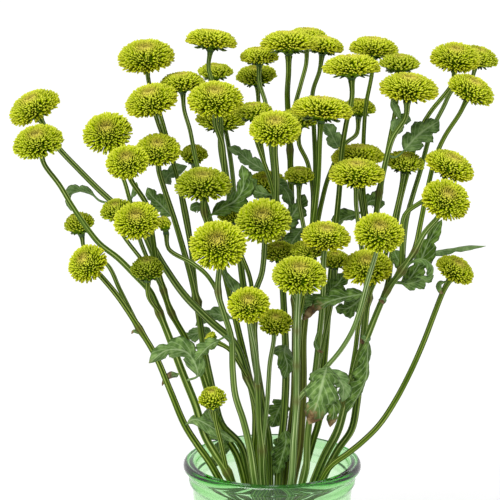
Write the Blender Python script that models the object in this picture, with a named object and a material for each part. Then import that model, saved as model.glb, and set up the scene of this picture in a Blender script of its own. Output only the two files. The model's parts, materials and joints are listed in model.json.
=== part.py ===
"""Green pompon chrysanthemums standing in a glass vase.

Lengths in the tables are millimetres; the meshes are made in metres, +Z up, with the origin
at the centre of the vase's foot. The front of the arrangement faces -Y.

Every bloom and stem was placed by eye from one viewpoint. A point is therefore given by how far
across and how high it looks from there, on an upright plane through the vase's axis, and by its
depth behind that axis. Its line of sight turns the three numbers into a place in space.
"""
import math
from collections import namedtuple

import bmesh
import bpy
import numpy as np
from mathutils import Matrix, Vector

MM = 0.001
GAP = 0.3

VASE_HEIGHT = 220.0
RIM_DIAMETER = 136.0
MOUTH_DIAMETER = 122.0
FOOT_DIAMETER = 98.0
GLASS = 4.0
FLOOR = 8.0
LIP_RADIUS = 4.5
LIP_FLARE = 20.0
FOOT_CHAMFER = 2.0
VASE_SIDES = 32

VIEWPOINT = np.array([-17.0, -1300.0, 640.0])
VIEW_PITCH = math.radians(11.17)
VIEW_DISTANCE = 1326.75
VIEW_LEVEL = 383.0

CHORD = 30.0
NECK_LENGTH = 12.0
NECK_RADIUS = 1.9
TIP_RADIUS = 2.3
SHOOT_RADIUS = 2.5
TAPER_LENGTH = 200.0
TUBE_BEVEL = 1

ROOM = 1.1
BEAD_STEP = 5.0
JOINT_ROOM = 45.0
SETTLING_ROUNDS = 400
HELD_BELOW = 215.0
FREE_ABOVE = 262.0

BLOOM_SIDES = 10
YOUNG_SIDES = 8
LEAF_THICKNESS = 0.9
LEAF_GAP = 0.55
NECK_WIDTH = 6.0
SQUARE_LENGTH = 5.0
SINK = 1.5

# Inside the vase each stem's place is that in the mouth drawn in towards the axis: at each
# height, the share of the way out that is left.
IN_THE_VASE = ((190.0, 0.72), (150.0, 0.62), (60.0, 0.62), (FLOOR + 0.6, 0.64))

# across, up and depth of the bloom's middle, its width, its height as a share of the width, and
# how many degrees it tips towards the viewer and leans to the right.
Bloom = namedtuple("Bloom", "across up depth width tallness tip lean")

# A main stem: the bloom at its top, its place (x, y) in the vase's mouth, its diameter there,
# and the points that it runs through on its way down. A third number sets the depth.
Stem = namedtuple("Stem", "bloom mouth girth route")

# A side shoot: the stem it grows from, the bloom it bears, and its points down to the joint.
Shoot = namedtuple("Shoot", "stem bloom route")

BLOOMS = {
    "bloom_01": Bloom(-179, 490, 5, 42, 0.44, 22, -24),
    "bloom_02": Bloom(-176, 464, -22, 40, 0.44, 28, -10),
    "bloom_03": Bloom(-95, 528, 38, 44, 0.44, 24, -4),
    "bloom_04": Bloom(-46, 540, 28, 40, 0.42, 0, 6),
    "bloom_05": Bloom(-91, 495, -6, 42, 0.44, 24, -14),
    "bloom_06": Bloom(-68, 508, 34, 36, 0.44, 5, -4),
    "bloom_07": Bloom(-43, 496, -16, 44, 0.44, 26, 0),
    "young_08": Bloom(-39, 480, 54, 39, 0.44, 12, 2),
    "young_09": Bloom(-43, 516, 88, 28, 0.45, 8, 0),
    "bloom_10": Bloom(-124, 471, 6, 39, 0.46, 44, -8),
    "bloom_11": Bloom(-10, 528, 42, 30, 0.46, 6, 0),
    "bloom_12": Bloom(12, 538, 24, 44, 0.42, 0, 0),
    "bloom_13": Bloom(26, 542, 98, 33, 0.45, 4, 2),
    "bloom_14": Bloom(38, 536, 60, 32, 0.45, 4, 8),
    "young_15": Bloom(-12, 513, 78, 32, 0.48, 14, -4),
    "bloom_16": Bloom(76, 534, 58, 38, 0.45, 4, 4),
    "bloom_17": Bloom(59, 520, 6, 45, 0.42, 0, -2),
    "young_18": Bloom(95, 522, 24, 32, 0.46, 6, 2),
    "bloom_19": Bloom(102, 504, -4, 46, 0.44, 12, 4),
    "bloom_20": Bloom(137, 527, 38, 39, 0.46, 22, 2),
    "young_21": Bloom(154, 527, 76, 32, 0.46, 16, 14),
    "bloom_22": Bloom(149, 503, 10, 38, 0.44, 20, 22),
    "bloom_23": Bloom(2, 474, -32, 41, 0.44, 28, 0),
    "young_24": Bloom(-14, 486, 24, 30, 0.46, 8, -4),
    "young_25": Bloom(20, 481, 30, 32, 0.48, 12, 0),
    "bloom_26": Bloom(37, 488, -6, 48, 0.42, 0, 4),
    "young_27": Bloom(65, 489, 78, 26, 0.55, 8, 4),
    "young_28": Bloom(-4, 432, 40, 32, 0.48, 22, 0),
    "young_29": Bloom(20, 438, 14, 24, 0.55, 14, 0),
    "bloom_30": Bloom(64, 453, 32, 42, 0.42, 2, -2),
    "bloom_31": Bloom(63, 440, -16, 44, 0.44, 12, 0),
    "young_32": Bloom(99, 448, 18, 31, 0.48, 14, 6),
    "bloom_33": Bloom(133, 446, -20, 40, 0.44, 18, 20),
    "bloom_34": Bloom(130, 421, -62, 39, 0.46, 42, 14),
    "bloom_35": Bloom(-109, 449, -48, 34, 0.46, 40, -6),
    "bloom_36": Bloom(-86, 458, -10, 36, 0.46, 32, 0),
    "young_37": Bloom(-59, 454, 44, 22, 0.70, 20, 0),
    "bloom_38": Bloom(-52, 432, -34, 45, 0.44, 18, 0),
    "bloom_39": Bloom(-102, 405, -54, 37, 0.46, 40, -4),
    "young_40": Bloom(-117, 412, -8, 26, 0.60, 24, -10),
    "young_41": Bloom(-145, 402, 16, 25, 0.75, 10, -10),
    "bloom_42": Bloom(-139, 373, -42, 33, 0.60, 48, -34),
    "young_43": Bloom(-94, 368, -52, 27, 0.75, 20, 0),
    "young_44": Bloom(-81, 402, -24, 12, 1.20, 10, -8),
    "bloom_45": Bloom(-41, 387, -74, 46, 0.44, 44, -4),
    "bloom_46": Bloom(-7, 405, -46, 44, 0.44, 40, -4),
    "young_47": Bloom(-31, 409, -4, 22, 0.60, 18, -6),
    "bloom_48": Bloom(40, 393, -46, 39, 0.44, 18, 4),
    "bloom_49": Bloom(80, 396, -84, 40, 0.46, 36, 4),
    "bloom_50": Bloom(20, 364, -78, 44, 0.44, 26, 2),
    "young_51": Bloom(4, 381, -17, 27, 0.50, 16, -6),
    "young_52": Bloom(26, 382, -32, 27, 0.50, 12, 2),
    "bloom_53": Bloom(71, 370, -40, 40, 0.46, 28, -4),
    "young_54": Bloom(47, 375, -8, 24, 0.55, 14, 0),
    "bloom_55": Bloom(137, 368, -20, 32, 0.50, 22, 24),
    "bloom_56": Bloom(-18, 342, -88, 34, 0.50, 40, -2),
    "young_57": Bloom(2, 328, -44, 28, 0.60, 30, 4),
    "young_58": Bloom(-45, 271, -62, 23, 0.85, 24, -6),
    "young_59": Bloom(-46, 316, -30, 13, 0.70, 10, -60),
}
STEMS = {
    "stem_left_low": Stem("bloom_42", (-46, -22), 6.6, [
        (-116, 348), (-100, 324), (-88, 304), (-77, 278), (-66, 252), (-55, 229),
    ]),
    "stem_left_thick": Stem("bloom_02", (-34, -38), 7.4, [
        (-170, 452), (-160, 432), (-151, 417), (-141, 402), (-130, 388), (-116, 377), (-104, 365),
        (-92, 352), (-85, 336), (-77, 316), (-70, 297), (-64, 282), (-58, 267), (-51, 244), (-41, 222),
    ]),
    "stem_left_long": Stem("bloom_01", (-6, -6), 6.6, [
        (-172, 474), (-161, 460), (-145, 443), (-130, 428), (-117, 416), (-103, 402), (-92, 389),
        (-82, 372), (-66, 349), (-47, 330), (-28, 312), (-19, 288), (-12, 269), (-8, 248),
    ]),
    "stem_left_inner": Stem("bloom_35", (-27, 2), 6.6, [
        (-100, 432), (-94, 416), (-90, 392), (-87, 372), (-82, 353), (-76, 336), (-66, 318),
        (-56, 299), (-49, 278), (-43, 257), (-34, 234),
    ]),
    "stem_left_upright": Stem("bloom_36", (-24, 26), 6.6, [
        (-81, 428), (-74, 407), (-68, 387), (-62, 366), (-57, 344), (-52, 312), (-46, 282), (-38, 252),
        (-30, 229),
    ]),
    "stem_mid_left": Stem("bloom_38", (-13, 14), 6.6, [
        (-49, 414), (-45, 400), (-39, 376), (-32, 349, 2), (-25, 319, 9), (-18, 289), (-13, 263),
        (-11, 237),
    ]),
    "stem_mid_back": Stem("bloom_07", (-2, 34), 6.6, [
        (-39, 479), (-38, 463), (-36, 442), (-31, 417), (-26, 387), (-22, 357), (-17, 329), (-13, 300),
        (-8, 270), (-4, 240),
    ]),
    "stem_front_left": Stem("bloom_45", (-14, -48), 6.6, [
        (-43, 364), (-41, 352), (-36, 334), (-31, 317), (-30, 293), (-28, 274), (-22, 255), (-17, 234),
    ]),
    "stem_front_inner": Stem("bloom_46", (-8, -28), 6.6, [
        (-6, 383), (-8, 366), (-13, 351), (-14, 330), (-13, 308), (-11, 282), (-10, 252), (-8, 233),
    ]),
    "stem_front": Stem("bloom_50", (14, -49), 6.6, [
        (19, 346), (18, 323), (18, 297), (18, 270), (16, 240),
    ]),
    "stem_mid_brown": Stem("bloom_26", (21, 10), 6.6, [
        (38, 474), (36, 458), (34, 436), (32, 417), (30, 400), (28, 376), (26, 346), (23, 316),
        (23, 289), (22, 256),
    ]),
    "stem_mid": Stem("bloom_23", (6, 10), 6.6, [
        (3, 458), (3, 439), (3, 415), (5, 392, 10), (7, 364, 8), (9, 327), (10, 289), (8, 252),
    ]),
    "stem_mid_far": Stem("bloom_12", (14, 40), 6.6, [
        (11, 526), (11, 499, 46), (13, 458, 50), (14, 420, 50), (16, 383), (17, 346), (17, 308),
        (16, 270), (14, 240),
    ]),
    "stem_front_right": Stem("bloom_48", (25, -30), 6.6, [
        (39, 381), (38, 353), (35, 319), (31, 284), (28, 259), (26, 240),
    ]),
    "stem_right_thick": Stem("bloom_34", (39, -6), 8.0, [
        (121, 410), (114, 396), (107, 383), (97, 368), (86, 353), (79, 338), (73, 323), (66, 306),
        (61, 288), (55, 269), (49, 248), (44, 227),
    ]),
    "stem_right_back": Stem("bloom_19", (50, 12), 6.6, [
        (98, 491), (95, 479), (90, 467), (85, 450), (80, 426), (77, 404), (74, 376), (71, 347),
        (68, 316), (65, 286), (59, 248),
    ]),
    "stem_right_mid": Stem("bloom_17", (32, 34), 6.6, [
        (57, 504), (56, 494), (55, 477), (52, 458), (50, 428), (47, 398), (44, 368), (41, 330),
        (38, 293), (35, 256),
    ]),
    "stem_right_low": Stem("bloom_55", (43, -26), 5.2, [
        (130, 355), (124, 340), (114, 316), (104, 293), (92, 270), (80, 252), (67, 239), (54, 228),
    ]),
}
SHOOTS = [
    Shoot("stem_left_low", "young_41", [
        (-134, 384), (-124, 372), (-115, 354), (-100, 324),
    ]),
    Shoot("stem_left_thick", "young_43", [
        (-91, 350), (-85, 336),
    ]),
    Shoot("stem_left_thick", "young_58", [
        (-43, 257), (-39, 239), (-35, 210),
    ]),
    Shoot("stem_left_inner", "bloom_39", [
        (-97, 386), (-91, 370), (-82, 353),
    ]),
    Shoot("stem_left_inner", "young_40", [
        (-112, 396), (-100, 378), (-87, 362), (-76, 336),
    ]),
    Shoot("stem_left_inner", "bloom_10", [
        (-118, 452), (-111, 434), (-106, 417), (-97, 396), (-87, 372),
    ]),
    Shoot("stem_left_upright", "bloom_05", [
        (-85, 477, 10), (-79, 466, 16), (-73, 443, 16), (-67, 413), (-62, 387), (-57, 344),
    ]),
    Shoot("stem_left_upright", "bloom_03", [
        (-91, 508), (-86, 490), (-79, 466), (-71, 436), (-64, 406), (-57, 344),
    ]),
    Shoot("stem_mid_left", "bloom_06", [
        (-67, 498), (-62, 473), (-58, 452), (-52, 428), (-45, 400),
    ]),
    Shoot("stem_mid_left", "young_37", [
        (-57, 443), (-51, 420), (-39, 376),
    ]),
    Shoot("stem_mid_back", "bloom_04", [
        (-46, 528), (-43, 514), (-40, 492), (-38, 466), (-31, 417),
    ]),
    Shoot("stem_mid_back", "young_08", [
        (-37, 470), (-35, 450), (-31, 417),
    ]),
    Shoot("stem_mid_back", "young_09", [
        (-43, 510), (-37, 480), (-31, 447), (-26, 387),
    ]),
    Shoot("stem_front_left", "young_44", [
        (-78, 391), (-70, 380), (-60, 373), (-50, 365), (-41, 352),
    ]),
    Shoot("stem_left_long", "young_59", [
        (-37, 316), (-29, 314), (-19, 288),
    ]),
    Shoot("stem_front_inner", "bloom_56", [
        (-17, 324), (-13, 306), (-11, 282),
    ]),
    Shoot("stem_front_inner", "young_57", [
        (0, 314), (-2, 299), (-4, 269), (-8, 233),
    ]),
    Shoot("stem_front_inner", "young_47", [
        (-30, 400), (-24, 382), (-17, 362), (-14, 330),
    ]),
    Shoot("stem_front", "young_51", [
        (8, 370), (14, 353), (20, 332, -56), (18, 297),
    ]),
    Shoot("stem_front", "young_52", [
        (26, 372), (23, 349), (18, 323),
    ]),
    Shoot("stem_front", "bloom_49", [
        (77, 377), (71, 359), (66, 340), (60, 323), (51, 308), (41, 296), (18, 270),
    ]),
    Shoot("stem_mid_brown", "young_25", [
        (22, 470), (26, 449, 34), (30, 428, 32), (28, 376),
    ]),
    Shoot("stem_mid_brown", "young_29", [
        (21, 430), (26, 414), (28, 376),
    ]),
    Shoot("stem_mid_brown", "bloom_14", [
        (33, 527), (30, 501, 56), (31, 473, 50), (32, 447, 40), (30, 400),
    ]),
    Shoot("stem_mid_brown", "young_27", [
        (62, 481), (53, 461, 58), (42, 438, 46), (28, 376),
    ]),
    Shoot("stem_mid", "young_24", [
        (-12, 477), (-7, 456), (-2, 436, 14), (3, 415),
    ]),
    Shoot("stem_mid_far", "young_15", [
        (-12, 503), (-11, 480), (-7, 452, 66), (0, 420, 60), (8, 396), (17, 346),
    ]),
    Shoot("stem_mid", "bloom_11", [
        (-7, 520), (-5, 492), (-2, 466, 26), (1, 439, 17), (3, 415),
    ]),
    Shoot("stem_mid", "young_28", [
        (-4, 421), (0, 407), (5, 392),
    ]),
    Shoot("stem_mid_far", "bloom_13", [
        (23, 533), (20, 512), (16, 488), (13, 458),
    ]),
    Shoot("stem_front_right", "young_54", [
        (47, 367), (44, 346), (39, 319), (31, 284),
    ]),
    Shoot("stem_right_thick", "bloom_33", [
        (118, 438), (106, 426), (99, 409), (97, 387), (97, 368),
    ]),
    Shoot("stem_right_thick", "bloom_22", [
        (142, 496), (136, 484), (129, 468), (122, 452), (116, 428), (107, 383),
    ]),
    Shoot("stem_right_thick", "bloom_20", [
        (132, 515), (125, 500), (118, 486), (110, 472), (103, 447, 34), (95, 417, 24), (86, 353),
    ]),
    Shoot("stem_right_thick", "young_21", [
        (146, 518), (135, 503), (128, 490), (119, 472), (111, 443, 46), (101, 409, 34), (97, 368),
    ]),
    Shoot("stem_right_thick", "bloom_53", [
        (70, 353), (65, 330), (62, 308), (55, 269),
    ]),
    Shoot("stem_right_back", "bloom_16", [
        (74, 524), (73, 509), (70, 492), (68, 460, 58), (68, 428, 48), (71, 402), (74, 376),
    ]),
    Shoot("stem_right_back", "young_18", [
        (94, 512), (92, 488), (87, 462), (80, 426),
    ]),
    Shoot("stem_right_back", "bloom_31", [
        (65, 426), (66, 407), (68, 374), (71, 347),
    ]),
    Shoot("stem_right_back", "bloom_30", [
        (64, 444), (67, 420), (71, 390), (74, 376),
    ]),
    Shoot("stem_right_back", "young_32", [
        (98, 438), (95, 424, 4), (91, 406, -6), (83, 374, -6), (71, 347),
    ]),
]

# A leaf: the bloom whose branch it grows from and how high, its midrib's points on the way to the
# tip, its half width at the branch and at each of them, and the blade's roll in degrees.
Leaf = namedtuple("Leaf", "branch up midrib half_widths roll")

LEAVES = {
    "leaf_right": Leaf("bloom_34", 358,
        [(101, 360, -26), (110, 373, -17), (118, 391, -18), (127, 406, -20)],
        [1.2, 1.6, 6, 8, 1], 50),
    "leaf_front": Leaf("bloom_49", 297,
        [(38, 286, -88), (34, 270, -92), (27, 252, -90)], [1.2, 9, 12, 2], -10),
    "leaf_left": Leaf("bloom_02", 286,
        [(-56, 290, -50), (-64, 306, -56), (-79, 308, -60), (-93, 298, -60)],
        [1.2, 2, 6, 7, 1], 60),
    "leaf_top": Leaf("bloom_19", 452,
        [(93, 453, 4), (110, 470, 10), (125, 480, 12)], [1.2, 1.6, 9, 1], 40),
    "leaf_far": Leaf("bloom_20", 374,
        [(104, 377, -4), (122, 381, 2), (142, 385, 8), (160, 386, 8)], [1.2, 2, 3, 4, 1], 60),
}

Branch = namedtuple("Branch", "stem bloom knots radii is_stem")
Frame = namedtuple("Frame", "neck axis width height")


def seen(across, up, depth):
    """The place of a point that looks to be across and up, and lies depth behind the axis."""
    rise = up - VIEW_LEVEL
    way = np.array([
        across - VIEWPOINT[0],
        VIEW_DISTANCE * math.cos(VIEW_PITCH) + rise * math.sin(VIEW_PITCH),
        rise * math.cos(VIEW_PITCH) - VIEW_DISTANCE * math.sin(VIEW_PITCH),
    ])
    return VIEWPOINT + way * ((depth - VIEWPOINT[1]) / way[1])


def looks(place):
    """How far across and up a place looks from the viewpoint."""
    offset = np.asarray(place, float) - VIEWPOINT
    away = offset[1] * math.cos(VIEW_PITCH) - offset[2] * math.sin(VIEW_PITCH)
    rise = offset[1] * math.sin(VIEW_PITCH) + offset[2] * math.cos(VIEW_PITCH)
    return VIEWPOINT[0] + offset[0] * VIEW_DISTANCE / away, VIEW_LEVEL + rise * VIEW_DISTANCE / away


def bloom_frame(name):
    """Where a bloom sits: the neck that it grows from, its axis, its real width and height."""
    bloom = BLOOMS[name]
    axis = np.array([math.tan(math.radians(bloom.lean)), -math.tan(math.radians(bloom.tip)), 1.0])
    axis /= np.linalg.norm(axis)
    width = bloom.width * (bloom.depth - VIEWPOINT[1]) / -VIEWPOINT[1]
    height = bloom.tallness * width
    middle = seen(bloom.across, bloom.up, bloom.depth)
    return Frame(middle - axis * height / 2, axis, width, height)


def fill_depths(points):
    """Points with every depth given: the missing ones run evenly between their neighbours."""
    given = [index for index, point in enumerate(points) if len(point) > 2]
    flat = np.array([point[:2] for point in points], float)
    steps = np.hypot(*np.diff(flat, axis=0).T)
    along = np.concatenate([[0.0], np.cumsum(steps)])
    depths = np.interp(along, along[given], [points[index][2] for index in given])
    return np.column_stack([flat, depths])


def smooth(points):
    """Short chords of a smooth curve through the points, and where the points are among them."""
    ends = np.vstack([2 * points[0] - points[1], points, 2 * points[-1] - points[-2]])
    curve = [points[0]]
    places = [0]
    for index in range(1, len(points)):
        before, start, end, after = ends[index - 1:index + 3]
        first, middle, last = (
            max(math.sqrt(np.linalg.norm(span)), 1e-6)
            for span in (start - before, end - start, after - end)
        )
        leave = (start - before) / first - (end - before) / (first + middle) + (end - start) / middle
        arrive = (end - start) / middle - (after - start) / (middle + last) + (after - end) / last
        pieces = max(1, math.ceil(np.linalg.norm((end - start)[:2]) / CHORD))
        for piece in range(1, pieces + 1):
            t = piece / pieces
            curve.append(
                (2 * t**3 - 3 * t**2 + 1) * start + (t**3 - 2 * t**2 + t) * middle * leave
                + (3 * t**2 - 2 * t**3) * end + (t**3 - t**2) * middle * arrive
            )
        places.append(len(curve) - 1)
    return np.array(curve), places


def upper_points(bloom, route):
    """A branch's points: its bloom's neck, a straight length below it, and the route's own."""
    frame = bloom_frame(bloom)
    below = frame.neck - frame.axis * min(NECK_LENGTH, frame.height / 2 + 5)
    points = [(*looks(frame.neck), frame.neck[1]), (*looks(below), below[1])]
    for point in route:
        crowded = math.hypot(point[0] - points[1][0], point[1] - points[1][1]) < 14
        if len(points) > 2 or not (crowded or point[1] > points[1][1] - 5):
            points.append(point)
    return points


def lay_out():
    """Every branch as a chain of knots (across, up, depth), and how freely each may shift."""
    knots = []
    freedom = []
    branches = []
    stem_points = {}
    for name, stem in STEMS.items():
        foot = looks((*stem.mouth, VASE_HEIGHT + 2))
        points = upper_points(stem.bloom, stem.route)
        points = [point for point in points if point[1] > foot[1] + 12]
        points = fill_depths(points + [(*foot, stem.mouth[1])])
        curve, places = smooth(points)
        first = len(knots)
        knots.extend(curve)
        for knot in curve:
            lift = (knot[1] - HELD_BELOW) / (FREE_ABOVE - HELD_BELOW)
            freedom.append(1.0 if lift > 1 else max(0.0, 0.8 * lift))
        freedom[-1] = 0.0
        stem_points[name] = (points, [first + place for place in places])
        radii = (TIP_RADIUS, stem.girth / 2)
        branches.append(Branch(name, stem.bloom, list(range(first, len(knots))), radii, True))
    for shoot in SHOOTS:
        points, places = stem_points[shoot.stem]
        end = shoot.route[-1]
        nearest = int(np.argmin(np.hypot(points[:, 0] - end[0], points[:, 1] - end[1])))
        joint = places[nearest]
        points = fill_depths(upper_points(shoot.bloom, shoot.route[:-1]) + [tuple(knots[joint])])
        curve, _ = smooth(points)
        first = len(knots)
        knots.extend(curve[:-1])
        freedom.extend([1.0] * (len(curve) - 1))
        chain = list(range(first, len(knots))) + [joint]
        branches.append(Branch(shoot.stem, shoot.bloom, chain, (NECK_RADIUS, SHOOT_RADIUS), False))
    return np.array(knots), np.array(freedom), branches


def string_beads(knots, branches):
    """Beads along every branch and through every bloom, which stand for the room they take."""
    rows = []
    for owner, branch in enumerate(branches):
        flat = knots[branch.knots, :2]
        steps = np.hypot(*np.diff(flat, axis=0).T)
        along = np.concatenate([[0.0], np.cumsum(steps)])
        for index, step in enumerate(steps):
            count = max(1, math.ceil(step / BEAD_STEP))
            for bead in range(count):
                share = (bead + 0.5) / count
                place = flat[index] * (1 - share) + flat[index + 1] * share
                run = along[index] + share * step
                radius = np.interp(run, [0, TAPER_LENGTH], branch.radii)
                rows.append((*place, radius, branch.knots[index], branch.knots[index + 1],
                             share, owner, 0, 0.0, along[-1] - run))
        frame = bloom_frame(branch.bloom)
        side = np.cross(frame.axis, [0.0, 1.0, 0.0])
        side /= np.linalg.norm(side)
        other = np.cross(frame.axis, side)
        radius = min(frame.height / 2, frame.width * 0.28)
        for turn in range(8):
            angle = turn * math.pi / 4
            spoke = side * math.cos(angle) + other * math.sin(angle)
            place = frame.neck + frame.axis * frame.height * 0.45 + spoke * (frame.width / 2 - radius)
            rows.append((*looks(place), radius, branch.knots[0], branch.knots[0],
                         0.0, owner, 1, place[1] - frame.neck[1], 1000.0))
        place = frame.neck + frame.axis * frame.height / 2
        rows.append((*looks(place), max(radius, frame.height * 0.49), branch.knots[0],
                     branch.knots[0], 0.0, owner, 1, place[1] - frame.neck[1], 1000.0))
    return np.array(rows)


def settle(knots, freedom, branches):
    """Shift the knots in depth until no branch or bloom passes through another.

    Each pair of beads keeps the order that it has in the tables, and a shift slides a knot along
    its line of sight, so nothing moves as the arrangement is seen from the front.
    """
    beads = string_beads(knots, branches)
    across, up, radius, upper, lower, share, owner, is_bloom, offset, to_joint = beads.T
    upper = upper.astype(int)
    lower = lower.astype(int)
    owner = owner.astype(int)
    one, two = np.triu_indices(len(beads), 1)
    apart = np.hypot(across[one] - across[two], up[one] - up[two])
    reach = radius[one] + radius[two] + ROOM
    near = (apart < 1.05 * reach) & (owner[one] != owner[two])
    one, two, apart, reach = one[near], two[near], apart[near], reach[near]
    stem_names = list(STEMS)
    stem_of = np.array([stem_names.index(branch.stem) for branch in branches])[owner]
    is_stem = np.array([branch.is_stem for branch in branches])[owner]
    to_joint = np.where(is_stem, 1000.0, to_joint)
    joined = (stem_of[one] == stem_of[two]) & (is_bloom[one] + is_bloom[two] == 0)
    joined &= np.minimum(to_joint[one], to_joint[two]) < JOINT_ROOM
    one, two, apart, reach = one[~joined], two[~joined], apart[~joined], reach[~joined]

    def depths(now):
        return now[upper] * (1 - share) + now[lower] * share + offset

    start = knots[:, 2].copy()
    now = start.copy()
    beads_start = depths(now)
    scale = 1 + (beads_start[one] + beads_start[two]) / 2 / -VIEWPOINT[1]
    need = reach**2 - (apart * scale)**2
    close = need > 0
    one, two, need = one[close], two[close], np.sqrt(need[close]) / 1.03
    order = np.where(beads_start[one] >= beads_start[two], 1.0, -1.0)
    count = len(knots)
    for turn in range(SETTLING_ROUNDS):
        beads_now = depths(now)
        short = need - order * (beads_now[one] - beads_now[two])
        bad = short > 0
        if not bad.any():
            break
        push = np.zeros(count)
        weight = np.zeros(count)
        for beads_moved, shove in ((one[bad], order[bad] * short[bad] / 2),
                                   (two[bad], -order[bad] * short[bad] / 2)):
            for ends, shares in ((upper, 1 - share), (lower, share)):
                push += np.bincount(ends[beads_moved], shares[beads_moved] * shove, count)
                weight += np.bincount(ends[beads_moved], shares[beads_moved], count)
        now += 1.3 * freedom * np.where(weight > 0, push / np.maximum(weight, 0.3), 0)
        shift = now - start
        total = np.zeros(count)
        uses = np.zeros(count)
        for branch in branches:
            chain = shift[branch.knots]
            total[branch.knots[1:-1]] += (chain[:-2] + chain[2:]) / 2
            uses[branch.knots[1:-1]] += 1
            total[branch.knots[0]] += chain[1]
            uses[branch.knots[0]] += 1
        stiffness = 0.25 if turn < SETTLING_ROUNDS * 0.7 else 0.06
        used = uses > 0
        shift[used] += stiffness * (total[used] / uses[used] - shift[used])
        now = start + shift * (freedom > 0)
    settled = knots.copy()
    settled[:, 2] = now
    return settled


def centre_lines():
    """Every branch's settled centre line in space, from its bloom's neck down to its end."""
    knots, freedom, branches = lay_out()
    knots = settle(knots, freedom, branches)
    lines = []
    for branch in branches:
        line = [seen(*knots[knot]) for knot in branch.knots]
        if branch.is_stem:
            mouth = STEMS[branch.stem].mouth
            for height, spread in IN_THE_VASE:
                line.append(np.array([mouth[0] * spread, mouth[1] * spread, height]))
        lines.append(np.array(line))
    return branches, lines


def new_object(name, mesh):
    """A linked object that holds a mesh made in millimetres."""
    mesh.transform(Matrix.Scale(MM, 4))
    mesh.name = name
    thing = bpy.data.objects.new(name, mesh)
    bpy.context.collection.objects.link(thing)
    return thing


def lathe(name, profile, sides):
    """A solid turned about Z from an outline of (radius, height) that starts and ends on Z."""
    shape = bmesh.new()
    rings = []
    for radius, height in profile:
        if radius == 0:
            rings.append([shape.verts.new((0, 0, height))])
            continue
        ring = []
        for side in range(sides):
            angle = side * math.tau / sides
            ring.append(shape.verts.new((radius * math.cos(angle), radius * math.sin(angle), height)))
        rings.append(ring)
    for lower, upper in zip(rings, rings[1:]):
        for side in range(sides):
            after = (side + 1) % sides
            corners = [lower[side % len(lower)], lower[after % len(lower)],
                       upper[after % len(upper)], upper[side % len(upper)]]
            shape.faces.new(list(dict.fromkeys(corners)))
    bmesh.ops.recalc_face_normals(shape, faces=shape.faces)
    mesh = bpy.data.meshes.new(name)
    shape.to_mesh(mesh)
    shape.free()
    mesh.shade_smooth()
    mesh.set_sharp_from_angle(angle=math.radians(50))
    return mesh


def tube(name, line, radii):
    """A round stem through the points, closed at both ends."""
    curve = bpy.data.curves.new(name, "CURVE")
    curve.dimensions = "3D"
    curve.bevel_depth = 1.0
    curve.bevel_resolution = TUBE_BEVEL
    curve.use_fill_caps = True
    spline = curve.splines.new("POLY")
    spline.points.add(len(line) - 1)
    for point, place, radius in zip(spline.points, line, radii):
        point.co = (*place, 1.0)
        point.radius = radius
    holder = bpy.data.objects.new(name, curve)
    mesh = bpy.data.meshes.new_from_object(holder)
    bpy.data.objects.remove(holder)
    bpy.data.curves.remove(curve)
    shape = bmesh.new()
    shape.from_mesh(mesh)
    bmesh.ops.remove_doubles(shape, verts=shape.verts, dist=0.001)
    bmesh.ops.recalc_face_normals(shape, faces=shape.faces)
    shape.to_mesh(mesh)
    shape.free()
    mesh.shade_smooth()
    return mesh


def unite(main, others):
    """Join other solids to the main one, so that what grew together is one body."""
    for other in others:
        other.hide_render = True
        other.display_type = "WIRE"
        join = main.modifiers.new("join", "BOOLEAN")
        join.operation = "UNION"
        join.solver = "EXACT"
        join.object = other
    graph = bpy.context.evaluated_depsgraph_get()
    joined = bpy.data.meshes.new_from_object(main.evaluated_get(graph))
    main.modifiers.clear()
    main.data = joined
    joined.name = main.name
    for other in others:
        bpy.data.objects.remove(other)


def material(name, colour, roughness, alpha=1.0):
    """A plain Principled material."""
    finish = bpy.data.materials.new(name)
    finish.use_nodes = True
    shader = finish.node_tree.nodes["Principled BSDF"]
    shader.inputs["Base Color"].default_value = (*colour, 1.0)
    shader.inputs["Roughness"].default_value = roughness
    shader.inputs["Metallic"].default_value = 0.0
    shader.inputs["Transmission Weight"].default_value = 1.0 - alpha
    finish.diffuse_color = (*colour, alpha)
    return finish


def bloom_mesh(name, frame, sides, sink=0.0):
    """A low dome of florets on its neck, in place; sink lets it swallow its stem's tip."""
    half = frame.width / 2
    high = frame.height
    profile = [(0, 0), (NECK_WIDTH / 2, 0), (half, 0.36 * high), (0.92 * half, 0.66 * high),
               (0.5 * half, 0.95 * high), (0, high)]
    mesh = lathe(name, profile, sides)
    turn = Vector(frame.axis).to_track_quat("Z", "Y").to_matrix().to_4x4()
    mesh.transform(Matrix.Translation(Vector(frame.neck - frame.axis * sink)) @ turn)
    return mesh


def stem_line(frame, line, sunk):
    """A branch's line whose tip stands square under its bloom, or just inside a young one."""
    tip = frame.neck + frame.axis * (SINK if sunk else -GAP)
    return np.vstack([tip, frame.neck - frame.axis * SQUARE_LENGTH, line[1:]])


def stem_radii(line, radii):
    """The radius at each point: the stem thickens for a while below its bloom."""
    steps = np.linalg.norm(np.diff(line, axis=0), axis=1)
    along = np.concatenate([[0.0], np.cumsum(steps)])
    return np.interp(along, [0, TAPER_LENGTH], radii)


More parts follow.
